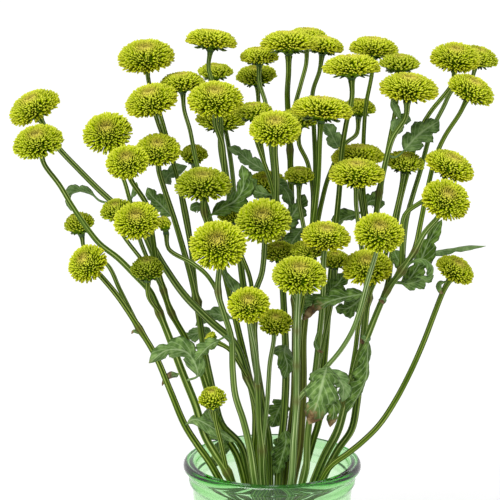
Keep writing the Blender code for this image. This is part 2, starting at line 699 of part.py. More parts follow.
def make_plants(stem_finish, bloom_finish):
    """Every stem with its side shoots and young blooms, and every open bloom on its own."""
    branches, lines = centre_lines()
    pieces = {name: [] for name in STEMS}
    for branch, line in zip(branches, lines):
        frame = bloom_frame(branch.bloom)._replace(neck=line[0])
        young = branch.bloom.startswith("young")
        path = stem_line(frame, line, young)
        grown = tube("tube", path, stem_radii(path, branch.radii))
        pieces[branch.stem].append(new_object(branch.stem, grown))
        if young:
            dome = bloom_mesh("dome", frame, YOUNG_SIDES)
            pieces[branch.stem].append(new_object(branch.bloom, dome))
        else:
            head = new_object(branch.bloom, bloom_mesh(branch.bloom, frame, BLOOM_SIDES))
            head.data.materials.append(bloom_finish)
    for name, grown in pieces.items():
        main, *others = grown
        unite(main, others)
        main.name = name
        main.data.materials.clear()
        main.data.materials.append(stem_finish)
    return {branch.bloom: (line, branch.radii) for branch, line in zip(branches, lines)}


def branch_at(line, radii, up):
    """The point on a branch's centre line that looks to be at a height, and the radius there."""
    heights = np.negative([looks(place)[1] for place in line])
    columns = (*line.T, stem_radii(line, radii))
    *place, radius = (np.interp(-up, heights, column) for column in columns)
    return np.array(place), radius


def leaf_seat(leaf, line, radii):
    """Where a leaf starts: at its branch's side that faces the midrib, just clear of the skin."""
    root, radius = branch_at(line, radii, leaf.up)
    along = branch_at(line, radii, leaf.up + 2)[0] - branch_at(line, radii, leaf.up - 2)[0]
    along /= np.linalg.norm(along)
    out = seen(*leaf.midrib[0]) - root
    out -= along * out.dot(along)
    return root + out / np.linalg.norm(out) * (radius + LEAF_GAP)


def make_leaf(name, leaf, seat, finish):
    """A thin blade about its midrib, which starts at its seat on the branch that bears it."""
    midrib = [seat] + [seen(*point) for point in leaf.midrib]
    shape = bmesh.new()
    rows = []
    for index, place in enumerate(midrib):
        before = midrib[max(index - 1, 0)]
        after = midrib[min(index + 1, len(midrib) - 1)]
        along = Vector(after - before).normalized()
        side = along.cross(Vector((0, -1, 0))).normalized()
        side.rotate(Matrix.Rotation(math.radians(leaf.roll), 3, along))
        half = leaf.half_widths[index]
        rows.append([shape.verts.new(Vector(place) + side * half * share) for share in (-1, 0, 1)])
    for lower, upper in zip(rows, rows[1:]):
        for k in range(2):
            shape.faces.new((lower[k], lower[k + 1], upper[k + 1], upper[k]))
    mesh = bpy.data.meshes.new(name)
    shape.to_mesh(mesh)
    shape.free()
    blade = new_object(name, mesh)
    thicken = blade.modifiers.new("blade", "SOLIDIFY")
    thicken.thickness = LEAF_THICKNESS * MM
    thicken.offset = 0.0
    blade.data.materials.append(finish)


def make_vase(finish):
    """A round glass vase: a flat foot, walls that open upwards, and a flared, beaded lip."""
    foot = FOOT_DIAMETER / 2
    wall = MOUTH_DIAMETER / 2
    lip = RIM_DIAMETER / 2 - LIP_RADIUS
    neck = VASE_HEIGHT - LIP_FLARE
    profile = [(0, 0), (foot - FOOT_CHAMFER, 0), (foot, FOOT_CHAMFER), (wall, neck),
               ((wall + lip) / 2 + 1.5, VASE_HEIGHT - LIP_FLARE / 2)]
    middle = VASE_HEIGHT - LIP_RADIUS
    for degrees in range(-40, 171, 30):
        angle = math.radians(degrees)
        profile.append((lip + LIP_RADIUS * math.cos(angle), middle + LIP_RADIUS * math.sin(angle)))
    profile += [(wall - GLASS, neck), (foot - GLASS + 1.5, FLOOR + 3), (foot - GLASS - 2, FLOOR),
                (0, FLOOR)]
    vase = new_object("vase", lathe("vase", profile, VASE_SIDES))
    vase.data.materials.append(finish)


def main():
    """Clear the scene and make the whole arrangement."""
    for thing in list(bpy.data.objects):
        bpy.data.objects.remove(thing)
    make_vase(material("green_glass", (0.42, 0.78, 0.36), 0.05, 0.3))
    grown = make_plants(
        material("green_stem", (0.20, 0.33, 0.10), 0.6),
        material("green_florets", (0.42, 0.56, 0.05), 0.7),
    )
    leaf_finish = material("dark_leaf", (0.05, 0.11, 0.05), 0.6)
    for name, leaf in LEAVES.items():
        make_leaf(name, leaf, leaf_seat(leaf, *grown[leaf.branch]), leaf_finish)


main()
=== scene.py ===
# %% [markdown]
# # Green pompon chrysanthemums in a glass vase
# Eighteen cut stems stand in a green glass vase. Most of them bear side shoots, and every branch
# ends in a low dome of narrow green florets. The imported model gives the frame: a plain solid
# for each stem, open bloom and larger leaf, and for the vase. This lesson grows the real
# surfaces in the same places, so it starts by loading the frame and keeping its box.

# %% Load the frame
import json
import math
from collections import namedtuple

import bmesh
import bpy
import numpy as np
from mathutils import Matrix, Vector

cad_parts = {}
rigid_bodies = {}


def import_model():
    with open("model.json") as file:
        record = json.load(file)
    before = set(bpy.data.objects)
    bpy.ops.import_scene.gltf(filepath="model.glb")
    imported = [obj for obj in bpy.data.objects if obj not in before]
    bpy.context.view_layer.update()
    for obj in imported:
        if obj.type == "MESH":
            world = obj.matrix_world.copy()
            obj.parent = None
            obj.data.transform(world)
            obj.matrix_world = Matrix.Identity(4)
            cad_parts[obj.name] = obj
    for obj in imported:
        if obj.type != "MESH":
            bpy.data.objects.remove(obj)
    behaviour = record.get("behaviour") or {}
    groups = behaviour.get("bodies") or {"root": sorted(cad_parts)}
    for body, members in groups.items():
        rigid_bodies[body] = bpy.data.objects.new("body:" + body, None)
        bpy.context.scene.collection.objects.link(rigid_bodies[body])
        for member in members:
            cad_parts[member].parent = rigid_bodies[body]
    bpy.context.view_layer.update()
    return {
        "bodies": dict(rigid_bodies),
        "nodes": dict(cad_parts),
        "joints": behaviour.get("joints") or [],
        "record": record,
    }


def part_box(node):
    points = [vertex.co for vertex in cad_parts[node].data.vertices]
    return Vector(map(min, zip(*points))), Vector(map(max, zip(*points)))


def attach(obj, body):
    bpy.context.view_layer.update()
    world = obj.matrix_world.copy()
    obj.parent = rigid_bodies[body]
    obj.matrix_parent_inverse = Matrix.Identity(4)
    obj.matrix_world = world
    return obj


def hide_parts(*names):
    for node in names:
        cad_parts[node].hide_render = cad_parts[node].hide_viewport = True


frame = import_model()

# %% [markdown]
# The camera comes first, because everything in the arrangement is judged through it. It stands
# 1.3 m in front and looks a little down on the flowers, with a long lens, as a studio
# photographer would stand to keep the outer stems from leaning. The tables below describe each
# point as it looks from here, so the same numbers set the camera and place the plants.

# %% Camera
MM = 0.001
VIEWPOINT = np.array([-17.0, -1300.0, 640.0])
VIEW_PITCH = math.radians(11.17)
VIEW_DISTANCE = 1326.75
VIEW_LEVEL = 383.0
VIEW_SPAN = 375.0
SENSOR = 36.0

lens = bpy.data.cameras.new("camera")
lens.sensor_width = SENSOR
lens.lens = SENSOR * VIEW_DISTANCE / VIEW_SPAN
camera = bpy.data.objects.new("camera", lens)
camera.location = VIEWPOINT * MM
camera.rotation_euler = (math.pi / 2 - VIEW_PITCH, 0, 0)
bpy.context.scene.collection.objects.link(camera)
bpy.context.scene.camera = camera
print("lens", round(lens.lens, 1), "mm")

# %% [markdown]
# ## Where everything grows
# A bouquet has no drawing, only a look from the front. So each bloom is written down as it
# looks: how far across and how high on an upright plane through the vase's axis, and how deep
# behind it. The same goes for the points that a stem runs through. All lengths are millimetres.

# %% Blooms
# across, up and depth of the bloom's middle, its width, its height as a share of the width, and
# how many degrees it tips towards the viewer and leans to the right.
Bloom = namedtuple("Bloom", "across up depth width tallness tip lean")
BLOOMS = {
    "bloom_01": Bloom(-179, 490, 5, 42, 0.44, 22, -24),
    "bloom_02": Bloom(-176, 464, -22, 40, 0.44, 28, -10),
    "bloom_03": Bloom(-95, 528, 38, 44, 0.44, 24, -4),
    "bloom_04": Bloom(-46, 540, 28, 40, 0.42, 0, 6),
    "bloom_05": Bloom(-91, 495, -6, 42, 0.44, 24, -14),
    "bloom_06": Bloom(-68, 508, 34, 36, 0.44, 5, -4),
    "bloom_07": Bloom(-43, 496, -16, 44, 0.44, 26, 0),
    "young_08": Bloom(-39, 480, 54, 39, 0.44, 12, 2),
    "young_09": Bloom(-43, 516, 88, 28, 0.45, 8, 0),
    "bloom_10": Bloom(-124, 471, 6, 39, 0.46, 44, -8),
    "bloom_11": Bloom(-10, 528, 42, 30, 0.46, 6, 0),
    "bloom_12": Bloom(12, 538, 24, 44, 0.42, 0, 0),
    "bloom_13": Bloom(26, 542, 98, 33, 0.45, 4, 2),
    "bloom_14": Bloom(38, 536, 60, 32, 0.45, 4, 8),
    "young_15": Bloom(-12, 513, 78, 32, 0.48, 14, -4),
    "bloom_16": Bloom(76, 534, 58, 38, 0.45, 4, 4),
    "bloom_17": Bloom(59, 520, 6, 45, 0.42, 0, -2),
    "young_18": Bloom(95, 522, 24, 32, 0.46, 6, 2),
    "bloom_19": Bloom(102, 504, -4, 46, 0.44, 12, 4),
    "bloom_20": Bloom(137, 527, 38, 39, 0.46, 22, 2),
    "young_21": Bloom(154, 527, 76, 32, 0.46, 16, 14),
    "bloom_22": Bloom(149, 503, 10, 38, 0.44, 20, 22),
    "bloom_23": Bloom(2, 474, -32, 41, 0.44, 28, 0),
    "young_24": Bloom(-14, 486, 24, 30, 0.46, 8, -4),
    "young_25": Bloom(20, 481, 30, 32, 0.48, 12, 0),
    "bloom_26": Bloom(37, 488, -6, 48, 0.42, 0, 4),
    "young_27": Bloom(65, 489, 78, 26, 0.55, 8, 4),
    "young_28": Bloom(-4, 432, 40, 32, 0.48, 22, 0),
    "young_29": Bloom(20, 438, 14, 24, 0.55, 14, 0),
    "bloom_30": Bloom(64, 453, 32, 42, 0.42, 2, -2),
    "bloom_31": Bloom(63, 440, -16, 44, 0.44, 12, 0),
    "young_32": Bloom(99, 448, 18, 31, 0.48, 14, 6),
    "bloom_33": Bloom(133, 446, -20, 40, 0.44, 18, 20),
    "bloom_34": Bloom(130, 421, -62, 39, 0.46, 42, 14),
    "bloom_35": Bloom(-109, 449, -48, 34, 0.46, 40, -6),
    "bloom_36": Bloom(-86, 458, -10, 36, 0.46, 32, 0),
    "young_37": Bloom(-59, 454, 44, 22, 0.70, 20, 0),
    "bloom_38": Bloom(-52, 432, -34, 45, 0.44, 18, 0),
    "bloom_39": Bloom(-102, 405, -54, 37, 0.46, 40, -4),
    "young_40": Bloom(-117, 412, -8, 26, 0.60, 24, -10),
    "young_41": Bloom(-145, 402, 16, 25, 0.75, 10, -10),
    "bloom_42": Bloom(-139, 373, -42, 33, 0.60, 48, -34),
    "young_43": Bloom(-94, 368, -52, 27, 0.75, 20, 0),
    "young_44": Bloom(-81, 402, -24, 12, 1.20, 10, -8),
    "bloom_45": Bloom(-41, 387, -74, 46, 0.44, 44, -4),
    "bloom_46": Bloom(-7, 405, -46, 44, 0.44, 40, -4),
    "young_47": Bloom(-31, 409, -4, 22, 0.60, 18, -6),
    "bloom_48": Bloom(40, 393, -46, 39, 0.44, 18, 4),
    "bloom_49": Bloom(80, 396, -84, 40, 0.46, 36, 4),
    "bloom_50": Bloom(20, 364, -78, 44, 0.44, 26, 2),
    "young_51": Bloom(4, 381, -17, 27, 0.50, 16, -6),
    "young_52": Bloom(26, 382, -32, 27, 0.50, 12, 2),
    "bloom_53": Bloom(71, 370, -40, 40, 0.46, 28, -4),
    "young_54": Bloom(47, 375, -8, 24, 0.55, 14, 0),
    "bloom_55": Bloom(137, 368, -20, 32, 0.50, 22, 24),
    "bloom_56": Bloom(-18, 342, -88, 34, 0.50, 40, -2),
    "young_57": Bloom(2, 328, -44, 28, 0.60, 30, 4),
    "young_58": Bloom(-45, 271, -62, 23, 0.85, 24, -6),
    "young_59": Bloom(-46, 316, -30, 13, 0.70, 10, -60),
}
print(len(BLOOMS), "blooms, of which", sum(name < "c" for name in BLOOMS), "are fully open")

# %% [markdown]
# A main stem has its place in the vase's mouth and the points on its way down from its bloom.
# A third number in a point sets its depth there, and the other depths run evenly between.

# %% Main stems
# The bloom at its top, its place (x, y) in the vase's mouth, its diameter there, and its route.
Stem = namedtuple("Stem", "bloom mouth girth route")
STEMS = {
    "stem_left_low": Stem("bloom_42", (-46, -22), 6.6, [(-116, 348), (-100, 324), (-88, 304),
        (-77, 278), (-66, 252), (-55, 229)]),
    "stem_left_thick": Stem("bloom_02", (-34, -38), 7.4, [(-170, 452), (-160, 432), (-151, 417),
        (-141, 402), (-130, 388), (-116, 377), (-104, 365), (-92, 352), (-85, 336), (-77, 316),
        (-70, 297), (-64, 282), (-58, 267), (-51, 244), (-41, 222)]),
    "stem_left_long": Stem("bloom_01", (-6, -6), 6.6, [(-172, 474), (-161, 460), (-145, 443),
        (-130, 428), (-117, 416), (-103, 402), (-92, 389), (-82, 372), (-66, 349), (-47, 330),
        (-28, 312), (-19, 288), (-12, 269), (-8, 248)]),
    "stem_left_inner": Stem("bloom_35", (-27, 2), 6.6, [(-100, 432), (-94, 416), (-90, 392),
        (-87, 372), (-82, 353), (-76, 336), (-66, 318), (-56, 299), (-49, 278), (-43, 257),
        (-34, 234)]),
    "stem_left_upright": Stem("bloom_36", (-24, 26), 6.6, [(-81, 428), (-74, 407), (-68, 387),
        (-62, 366), (-57, 344), (-52, 312), (-46, 282), (-38, 252), (-30, 229)]),
    "stem_mid_left": Stem("bloom_38", (-13, 14), 6.6, [(-49, 414), (-45, 400), (-39, 376),
        (-32, 349, 2), (-25, 319, 9), (-18, 289), (-13, 263), (-11, 237)]),
    "stem_mid_back": Stem("bloom_07", (-2, 34), 6.6, [(-39, 479), (-38, 463), (-36, 442),
        (-31, 417), (-26, 387), (-22, 357), (-17, 329), (-13, 300), (-8, 270), (-4, 240)]),
    "stem_front_left": Stem("bloom_45", (-14, -48), 6.6, [(-43, 364), (-41, 352), (-36, 334),
        (-31, 317), (-30, 293), (-28, 274), (-22, 255), (-17, 234)]),
    "stem_front_inner": Stem("bloom_46", (-8, -28), 6.6, [(-6, 383), (-8, 366), (-13, 351),
        (-14, 330), (-13, 308), (-11, 282), (-10, 252), (-8, 233)]),
    "stem_front": Stem("bloom_50", (14, -49), 6.6, [(19, 346), (18, 323), (18, 297), (18, 270),
        (16, 240)]),
    "stem_mid_brown": Stem("bloom_26", (21, 10), 6.6, [(38, 474), (36, 458), (34, 436), (32, 417),
        (30, 400), (28, 376), (26, 346), (23, 316), (23, 289), (22, 256)]),
    "stem_mid": Stem("bloom_23", (6, 10), 6.6, [(3, 458), (3, 439), (3, 415), (5, 392, 10),
        (7, 364, 8), (9, 327), (10, 289), (8, 252)]),
    "stem_mid_far": Stem("bloom_12", (14, 40), 6.6, [(11, 526), (11, 499, 46), (13, 458, 50),
        (14, 420, 50), (16, 383), (17, 346), (17, 308), (16, 270), (14, 240)]),
    "stem_front_right": Stem("bloom_48", (25, -30), 6.6, [(39, 381), (38, 353), (35, 319),
        (31, 284), (28, 259), (26, 240)]),
    "stem_right_thick": Stem("bloom_34", (39, -6), 8.0, [(121, 410), (114, 396), (107, 383),
        (97, 368), (86, 353), (79, 338), (73, 323), (66, 306), (61, 288), (55, 269), (49, 248),
        (44, 227)]),
    "stem_right_back": Stem("bloom_19", (50, 12), 6.6, [(98, 491), (95, 479), (90, 467), (85, 450),
        (80, 426), (77, 404), (74, 376), (71, 347), (68, 316), (65, 286), (59, 248)]),
    "stem_right_mid": Stem("bloom_17", (32, 34), 6.6, [(57, 504), (56, 494), (55, 477), (52, 458),
        (50, 428), (47, 398), (44, 368), (41, 330), (38, 293), (35, 256)]),
    "stem_right_low": Stem("bloom_55", (43, -26), 5.2, [(130, 355), (124, 340), (114, 316),
        (104, 293), (92, 270), (80, 252), (67, 239), (54, 228)]),
}
print(len(STEMS), "main stems")

# %% [markdown]
# A side shoot leaves its stem at one of that stem's own points and ends in a bloom.

# %% Side shoots
# The stem it grows from, the bloom that it bears, and its points down to the joint.
Shoot = namedtuple("Shoot", "stem bloom route")
SHOOTS = [
    Shoot("stem_left_low", "young_41", [(-134, 384), (-124, 372), (-115, 354), (-100, 324)]),
    Shoot("stem_left_thick", "young_43", [(-91, 350), (-85, 336)]),
    Shoot("stem_left_thick", "young_58", [(-43, 257), (-39, 239), (-35, 210)]),
    Shoot("stem_left_inner", "bloom_39", [(-97, 386), (-91, 370), (-82, 353)]),
    Shoot("stem_left_inner", "young_40", [(-112, 396), (-100, 378), (-87, 362), (-76, 336)]),
    Shoot("stem_left_inner", "bloom_10", [(-118, 452), (-111, 434), (-106, 417), (-97, 396),
        (-87, 372)]),
    Shoot("stem_left_upright", "bloom_05", [(-85, 477, 10), (-79, 466, 16), (-73, 443, 16),
        (-67, 413), (-62, 387), (-57, 344)]),
    Shoot("stem_left_upright", "bloom_03", [(-91, 508), (-86, 490), (-79, 466), (-71, 436),
        (-64, 406), (-57, 344)]),
    Shoot("stem_mid_left", "bloom_06", [(-67, 498), (-62, 473), (-58, 452), (-52, 428),
        (-45, 400)]),
    Shoot("stem_mid_left", "young_37", [(-57, 443), (-51, 420), (-39, 376)]),
    Shoot("stem_mid_back", "bloom_04", [(-46, 528), (-43, 514), (-40, 492), (-38, 466),
        (-31, 417)]),
    Shoot("stem_mid_back", "young_08", [(-37, 470), (-35, 450), (-31, 417)]),
    Shoot("stem_mid_back", "young_09", [(-43, 510), (-37, 480), (-31, 447), (-26, 387)]),
    Shoot("stem_front_left", "young_44", [(-78, 391), (-70, 380), (-60, 373), (-50, 365),
        (-41, 352)]),
    Shoot("stem_left_long", "young_59", [(-37, 316), (-29, 314), (-19, 288)]),
    Shoot("stem_front_inner", "bloom_56", [(-17, 324), (-13, 306), (-11, 282)]),
    Shoot("stem_front_inner", "young_57", [(0, 314), (-2, 299), (-4, 269), (-8, 233)]),
    Shoot("stem_front_inner", "young_47", [(-30, 400), (-24, 382), (-17, 362), (-14, 330)]),
    Shoot("stem_front", "young_51", [(8, 370), (14, 353), (20, 332, -56), (18, 297)]),
    Shoot("stem_front", "young_52", [(26, 372), (23, 349), (18, 323)]),
    Shoot("stem_front", "bloom_49", [(77, 377), (71, 359), (66, 340), (60, 323), (51, 308),
        (41, 296), (18, 270)]),
    Shoot("stem_mid_brown", "young_25", [(22, 470), (26, 449, 34), (30, 428, 32), (28, 376)]),
    Shoot("stem_mid_brown", "young_29", [(21, 430), (26, 414), (28, 376)]),
    Shoot("stem_mid_brown", "bloom_14", [(33, 527), (30, 501, 56), (31, 473, 50), (32, 447, 40),
        (30, 400)]),
    Shoot("stem_mid_brown", "young_27", [(62, 481), (53, 461, 58), (42, 438, 46), (28, 376)]),
    Shoot("stem_mid", "young_24", [(-12, 477), (-7, 456), (-2, 436, 14), (3, 415)]),
    Shoot("stem_mid_far", "young_15", [(-12, 503), (-11, 480), (-7, 452, 66), (0, 420, 60),
        (8, 396), (17, 346)]),
    Shoot("stem_mid", "bloom_11", [(-7, 520), (-5, 492), (-2, 466, 26), (1, 439, 17), (3, 415)]),
    Shoot("stem_mid", "young_28", [(-4, 421), (0, 407), (5, 392)]),
    Shoot("stem_mid_far", "bloom_13", [(23, 533), (20, 512), (16, 488), (13, 458)]),
    Shoot("stem_front_right", "young_54", [(47, 367), (44, 346), (39, 319), (31, 284)]),
    Shoot("stem_right_thick", "bloom_33", [(118, 438), (106, 426), (99, 409), (97, 387),
        (97, 368)]),
    Shoot("stem_right_thick", "bloom_22", [(142, 496), (136, 484), (129, 468), (122, 452),
        (116, 428), (107, 383)]),
    Shoot("stem_right_thick", "bloom_20", [(132, 515), (125, 500), (118, 486), (110, 472),
        (103, 447, 34), (95, 417, 24), (86, 353)]),
    Shoot("stem_right_thick", "young_21", [(146, 518), (135, 503), (128, 490), (119, 472),
        (111, 443, 46), (101, 409, 34), (97, 368)]),
    Shoot("stem_right_thick", "bloom_53", [(70, 353), (65, 330), (62, 308), (55, 269)]),
    Shoot("stem_right_back", "bloom_16", [(74, 524), (73, 509), (70, 492), (68, 460, 58),
        (68, 428, 48), (71, 402), (74, 376)]),
    Shoot("stem_right_back", "young_18", [(94, 512), (92, 488), (87, 462), (80, 426)]),
    Shoot("stem_right_back", "bloom_31", [(65, 426), (66, 407), (68, 374), (71, 347)]),
    Shoot("stem_right_back", "bloom_30", [(64, 444), (67, 420), (71, 390), (74, 376)]),
    Shoot("stem_right_back", "young_32", [(98, 438), (95, 424, 4), (91, 406, -6), (83, 374, -6),
        (71, 347)]),
]
print(len(SHOOTS), "side shoots")

# %% [markdown]
# One line of sight turns the three numbers into a place in space, and back.

# %% Lines of sight
def seen(across, up, depth):
    """The place of a point that looks to be across and up, and lies depth behind the axis."""
    rise = up - VIEW_LEVEL
    way = np.array([
        across - VIEWPOINT[0],
        VIEW_DISTANCE * math.cos(VIEW_PITCH) + rise * math.sin(VIEW_PITCH),
        rise * math.cos(VIEW_PITCH) - VIEW_DISTANCE * math.sin(VIEW_PITCH),
    ])
    return VIEWPOINT + way * ((depth - VIEWPOINT[1]) / way[1])


def looks(place):
    """How far across and up a place looks from the viewpoint."""
    offset = np.asarray(place, float) - VIEWPOINT
    away = offset[1] * math.cos(VIEW_PITCH) - offset[2] * math.sin(VIEW_PITCH)
    rise = offset[1] * math.sin(VIEW_PITCH) + offset[2] * math.cos(VIEW_PITCH)
    across = VIEWPOINT[0] + offset[0] * VIEW_DISTANCE / away
    return across, VIEW_LEVEL + rise * VIEW_DISTANCE / away


print("a bloom in the middle is at", np.round(seen(0, 383, 0), 1))

# %% [markdown]
# A bloom sits on its neck, and its axis tips towards the viewer and leans to one side. What is
# further away is drawn larger here, so that it looks as wide as the table says.

# %% Bloom frames
Frame = namedtuple("Frame", "neck axis width height")


def bloom_frame(name):
    """Where a bloom sits: the neck that it grows from, its axis, its real width and height."""
    bloom = BLOOMS[name]
    axis = np.array([math.tan(math.radians(bloom.lean)), -math.tan(math.radians(bloom.tip)), 1.0])
    axis /= np.linalg.norm(axis)
    width = bloom.width * (bloom.depth - VIEWPOINT[1]) / -VIEWPOINT[1]
    height = bloom.tallness * width
    middle = seen(bloom.across, bloom.up, bloom.depth)
    return Frame(middle - axis * height / 2, axis, width, height)


print("bloom_26 is really", round(bloom_frame("bloom_26").width, 1), "mm wide")

# %% [markdown]
# Stems are smooth, so a centripetal Catmull-Rom curve joins a route's points. It never loops or
# overshoots where two points lie close together, which a plain spline would do.

# %% Smooth curves
CHORD = 30.0


def fill_depths(points):
    """Points with every depth given: the missing ones run evenly between their neighbours."""
    given = [index for index, point in enumerate(points) if len(point) > 2]
    flat = np.array([point[:2] for point in points], float)
    steps = np.hypot(*np.diff(flat, axis=0).T)
    along = np.concatenate([[0.0], np.cumsum(steps)])
    depths = np.interp(along, along[given], [points[index][2] for index in given])
    return np.column_stack([flat, depths])


def smooth(points, chord, axes=2):
    """Short chords of a smooth curve through the points, and where the points are among them."""
    ends = np.vstack([2 * points[0] - points[1], points, 2 * points[-1] - points[-2]])
    curve = [points[0]]
    places = [0]
    for index in range(1, len(points)):
        before, start, end, after = ends[index - 1:index + 3]
        first, middle, last = (
            max(math.sqrt(np.linalg.norm(span)), 1e-6)
            for span in (start - before, end - start, after - end)
        )
        across = (end - start) / middle
        leave = (start - before) / first - (end - before) / (first + middle) + across
        arrive = across - (after - start) / (middle + last) + (after - end) / last
        pieces = max(1, math.ceil(np.linalg.norm((end - start)[:axes]) / chord))
        for piece in range(1, pieces + 1):
            t = piece / pieces
            curve.append(
                (2 * t**3 - 3 * t**2 + 1) * start + (t**3 - 2 * t**2 + t) * middle * leave
                + (3 * t**2 - 2 * t**3) * end + (t**3 - t**2) * middle * arrive
            )
        places.append(len(curve) - 1)
    return np.array(curve), places


bend, _ = smooth(np.array([(0.0, 0, 0), (30, 40, 0), (0, 80, 0)]), CHORD)
print("a bend of three points becomes", len(bend), "points")

# %% [markdown]
# Every branch becomes a chain of knots. A shoot's last knot is one of its stem's own, so the
# two stay joined however the chains are shifted later.

# %% Lay out the branches
VASE_HEIGHT = 220.0
NECK_LENGTH = 12.0
NECK_RADIUS = 1.9
TIP_RADIUS = 2.3
SHOOT_RADIUS = 2.5
TAPER_LENGTH = 200.0
# A route's own points start this far from the straight length below the bloom.
CROWDED = 14.0
# A stem is held still in the mouth and moves freely only some way above it.
HELD_BELOW = 215.0
FREE_ABOVE = 262.0
HALF_HELD = 0.8
Branch = namedtuple("Branch", "stem bloom knots radii is_stem")


def upper_points(bloom, route):
    """A branch's points: its bloom's neck, a straight length below it, and the route's own."""
    frame = bloom_frame(bloom)
    below = frame.neck - frame.axis * min(NECK_LENGTH, frame.height / 2 + 5)
    points = [(*looks(frame.neck), frame.neck[1]), (*looks(below), below[1])]
    for point in route:
        crowded = math.hypot(point[0] - points[1][0], point[1] - points[1][1]) < CROWDED
        if len(points) > 2 or not (crowded or point[1] > points[1][1] - 5):
            points.append(point)
    return points


def lay_out():
    """Every branch as a chain of knots (across, up, depth), and how freely each may shift."""
    knots = []
    freedom = []
    branches = []
    stem_points = {}
    for name, stem in STEMS.items():
        foot = looks((*stem.mouth, VASE_HEIGHT + 2))
        points = upper_points(stem.bloom, stem.route)
        points = [point for point in points if point[1] > foot[1] + 12]
        points = fill_depths(points + [(*foot, stem.mouth[1])])
        curve, places = smooth(points, CHORD)
        first = len(knots)
        knots.extend(curve)
        for knot in curve:
            lift = (knot[1] - HELD_BELOW) / (FREE_ABOVE - HELD_BELOW)
            freedom.append(1.0 if lift > 1 else max(0.0, HALF_HELD * lift))
        freedom[-1] = 0.0
        stem_points[name] = (points, [first + place for place in places])
        radii = (TIP_RADIUS, stem.girth / 2)
        branches.append(Branch(name, stem.bloom, list(range(first, len(knots))), radii, True))
    for shoot in SHOOTS:
        points, places = stem_points[shoot.stem]
        end = shoot.route[-1]
        nearest = int(np.argmin(np.hypot(points[:, 0] - end[0], points[:, 1] - end[1])))
        joint = places[nearest]
        points = fill_depths(upper_points(shoot.bloom, shoot.route[:-1]) + [tuple(knots[joint])])
        curve, _ = smooth(points, CHORD)
        first = len(knots)
        knots.extend(curve[:-1])
        freedom.extend([1.0] * (len(curve) - 1))
        chain = list(range(first, len(knots))) + [joint]
        branches.append(Branch(shoot.stem, shoot.bloom, chain, (NECK_RADIUS, SHOOT_RADIUS), False))
    return np.array(knots), np.array(freedom), branches


print("a side shoot is", 2 * SHOOT_RADIUS, "mm thick where it leaves its stem")

# %% [markdown]
# Seen from the front the stems cross each other many times, and no two can share a place. Beads
# strung along every branch and through every bloom stand for the room that each takes. Wherever
# two beads are too close, one moves back and the other forward along its line of sight, a
# little at a time, until nothing touches. The look from the front stays the same.

# %% Settle the depths
ROOM = 1.1
BEAD_STEP = 5.0
JOINT_ROOM = 45.0
SETTLING_ROUNDS = 400
# How strongly a knot is pushed, and how strongly its neighbours smooth the shift.
PUSH = 1.3
SMOOTHING = 0.25
LAST_SMOOTHING = 0.06
# Two beads further apart than this share of their reach are never compared.
NEARLY = 1.05
# A shift in depth runs along a slanting line of sight, so a little less of it is enough.
SLANT = 1.03
# A knot that a bead hardly holds counts as held this much, so that it isn't flung away.
LEAST_WEIGHT = 0.3
# Further from any joint than a branch is long.
FAR = 1000.0


def string_beads(knots, branches):
    """Beads along every branch and through every bloom, which stand for the room they take."""
    rows = []
    for owner, branch in enumerate(branches):
        flat = knots[branch.knots, :2]
        steps = np.hypot(*np.diff(flat, axis=0).T)
        along = np.concatenate([[0.0], np.cumsum(steps)])
        for index, step in enumerate(steps):
            count = max(1, math.ceil(step / BEAD_STEP))
            for bead in range(count):
                share = (bead + 0.5) / count
                place = flat[index] * (1 - share) + flat[index + 1] * share
                run = along[index] + share * step
                radius = np.interp(run, [0, TAPER_LENGTH], branch.radii)
                rows.append((*place, radius, branch.knots[index], branch.knots[index + 1],
                             share, owner, 0, 0.0, along[-1] - run))
        frame = bloom_frame(branch.bloom)
        side = np.cross(frame.axis, [0.0, 1.0, 0.0])
        side /= np.linalg.norm(side)
        other = np.cross(frame.axis, side)
        radius = min(frame.height / 2, frame.width * 0.28)
        beads = []
        for turn in range(8):
            angle = turn * math.pi / 4
            spoke = side * math.cos(angle) + other * math.sin(angle)
            rim = spoke * (frame.width / 2 - radius)
            beads.append((frame.neck + frame.axis * frame.height * 0.45 + rim, radius))
        centre = frame.neck + frame.axis * frame.height / 2
        beads.append((centre, max(radius, frame.height * 0.49)))
        top = branch.knots[0]
        for place, radius in beads:
            rows.append((*looks(place), radius, top, top, 0.0, owner, 1,
                         place[1] - frame.neck[1], FAR))
    return np.array(rows)


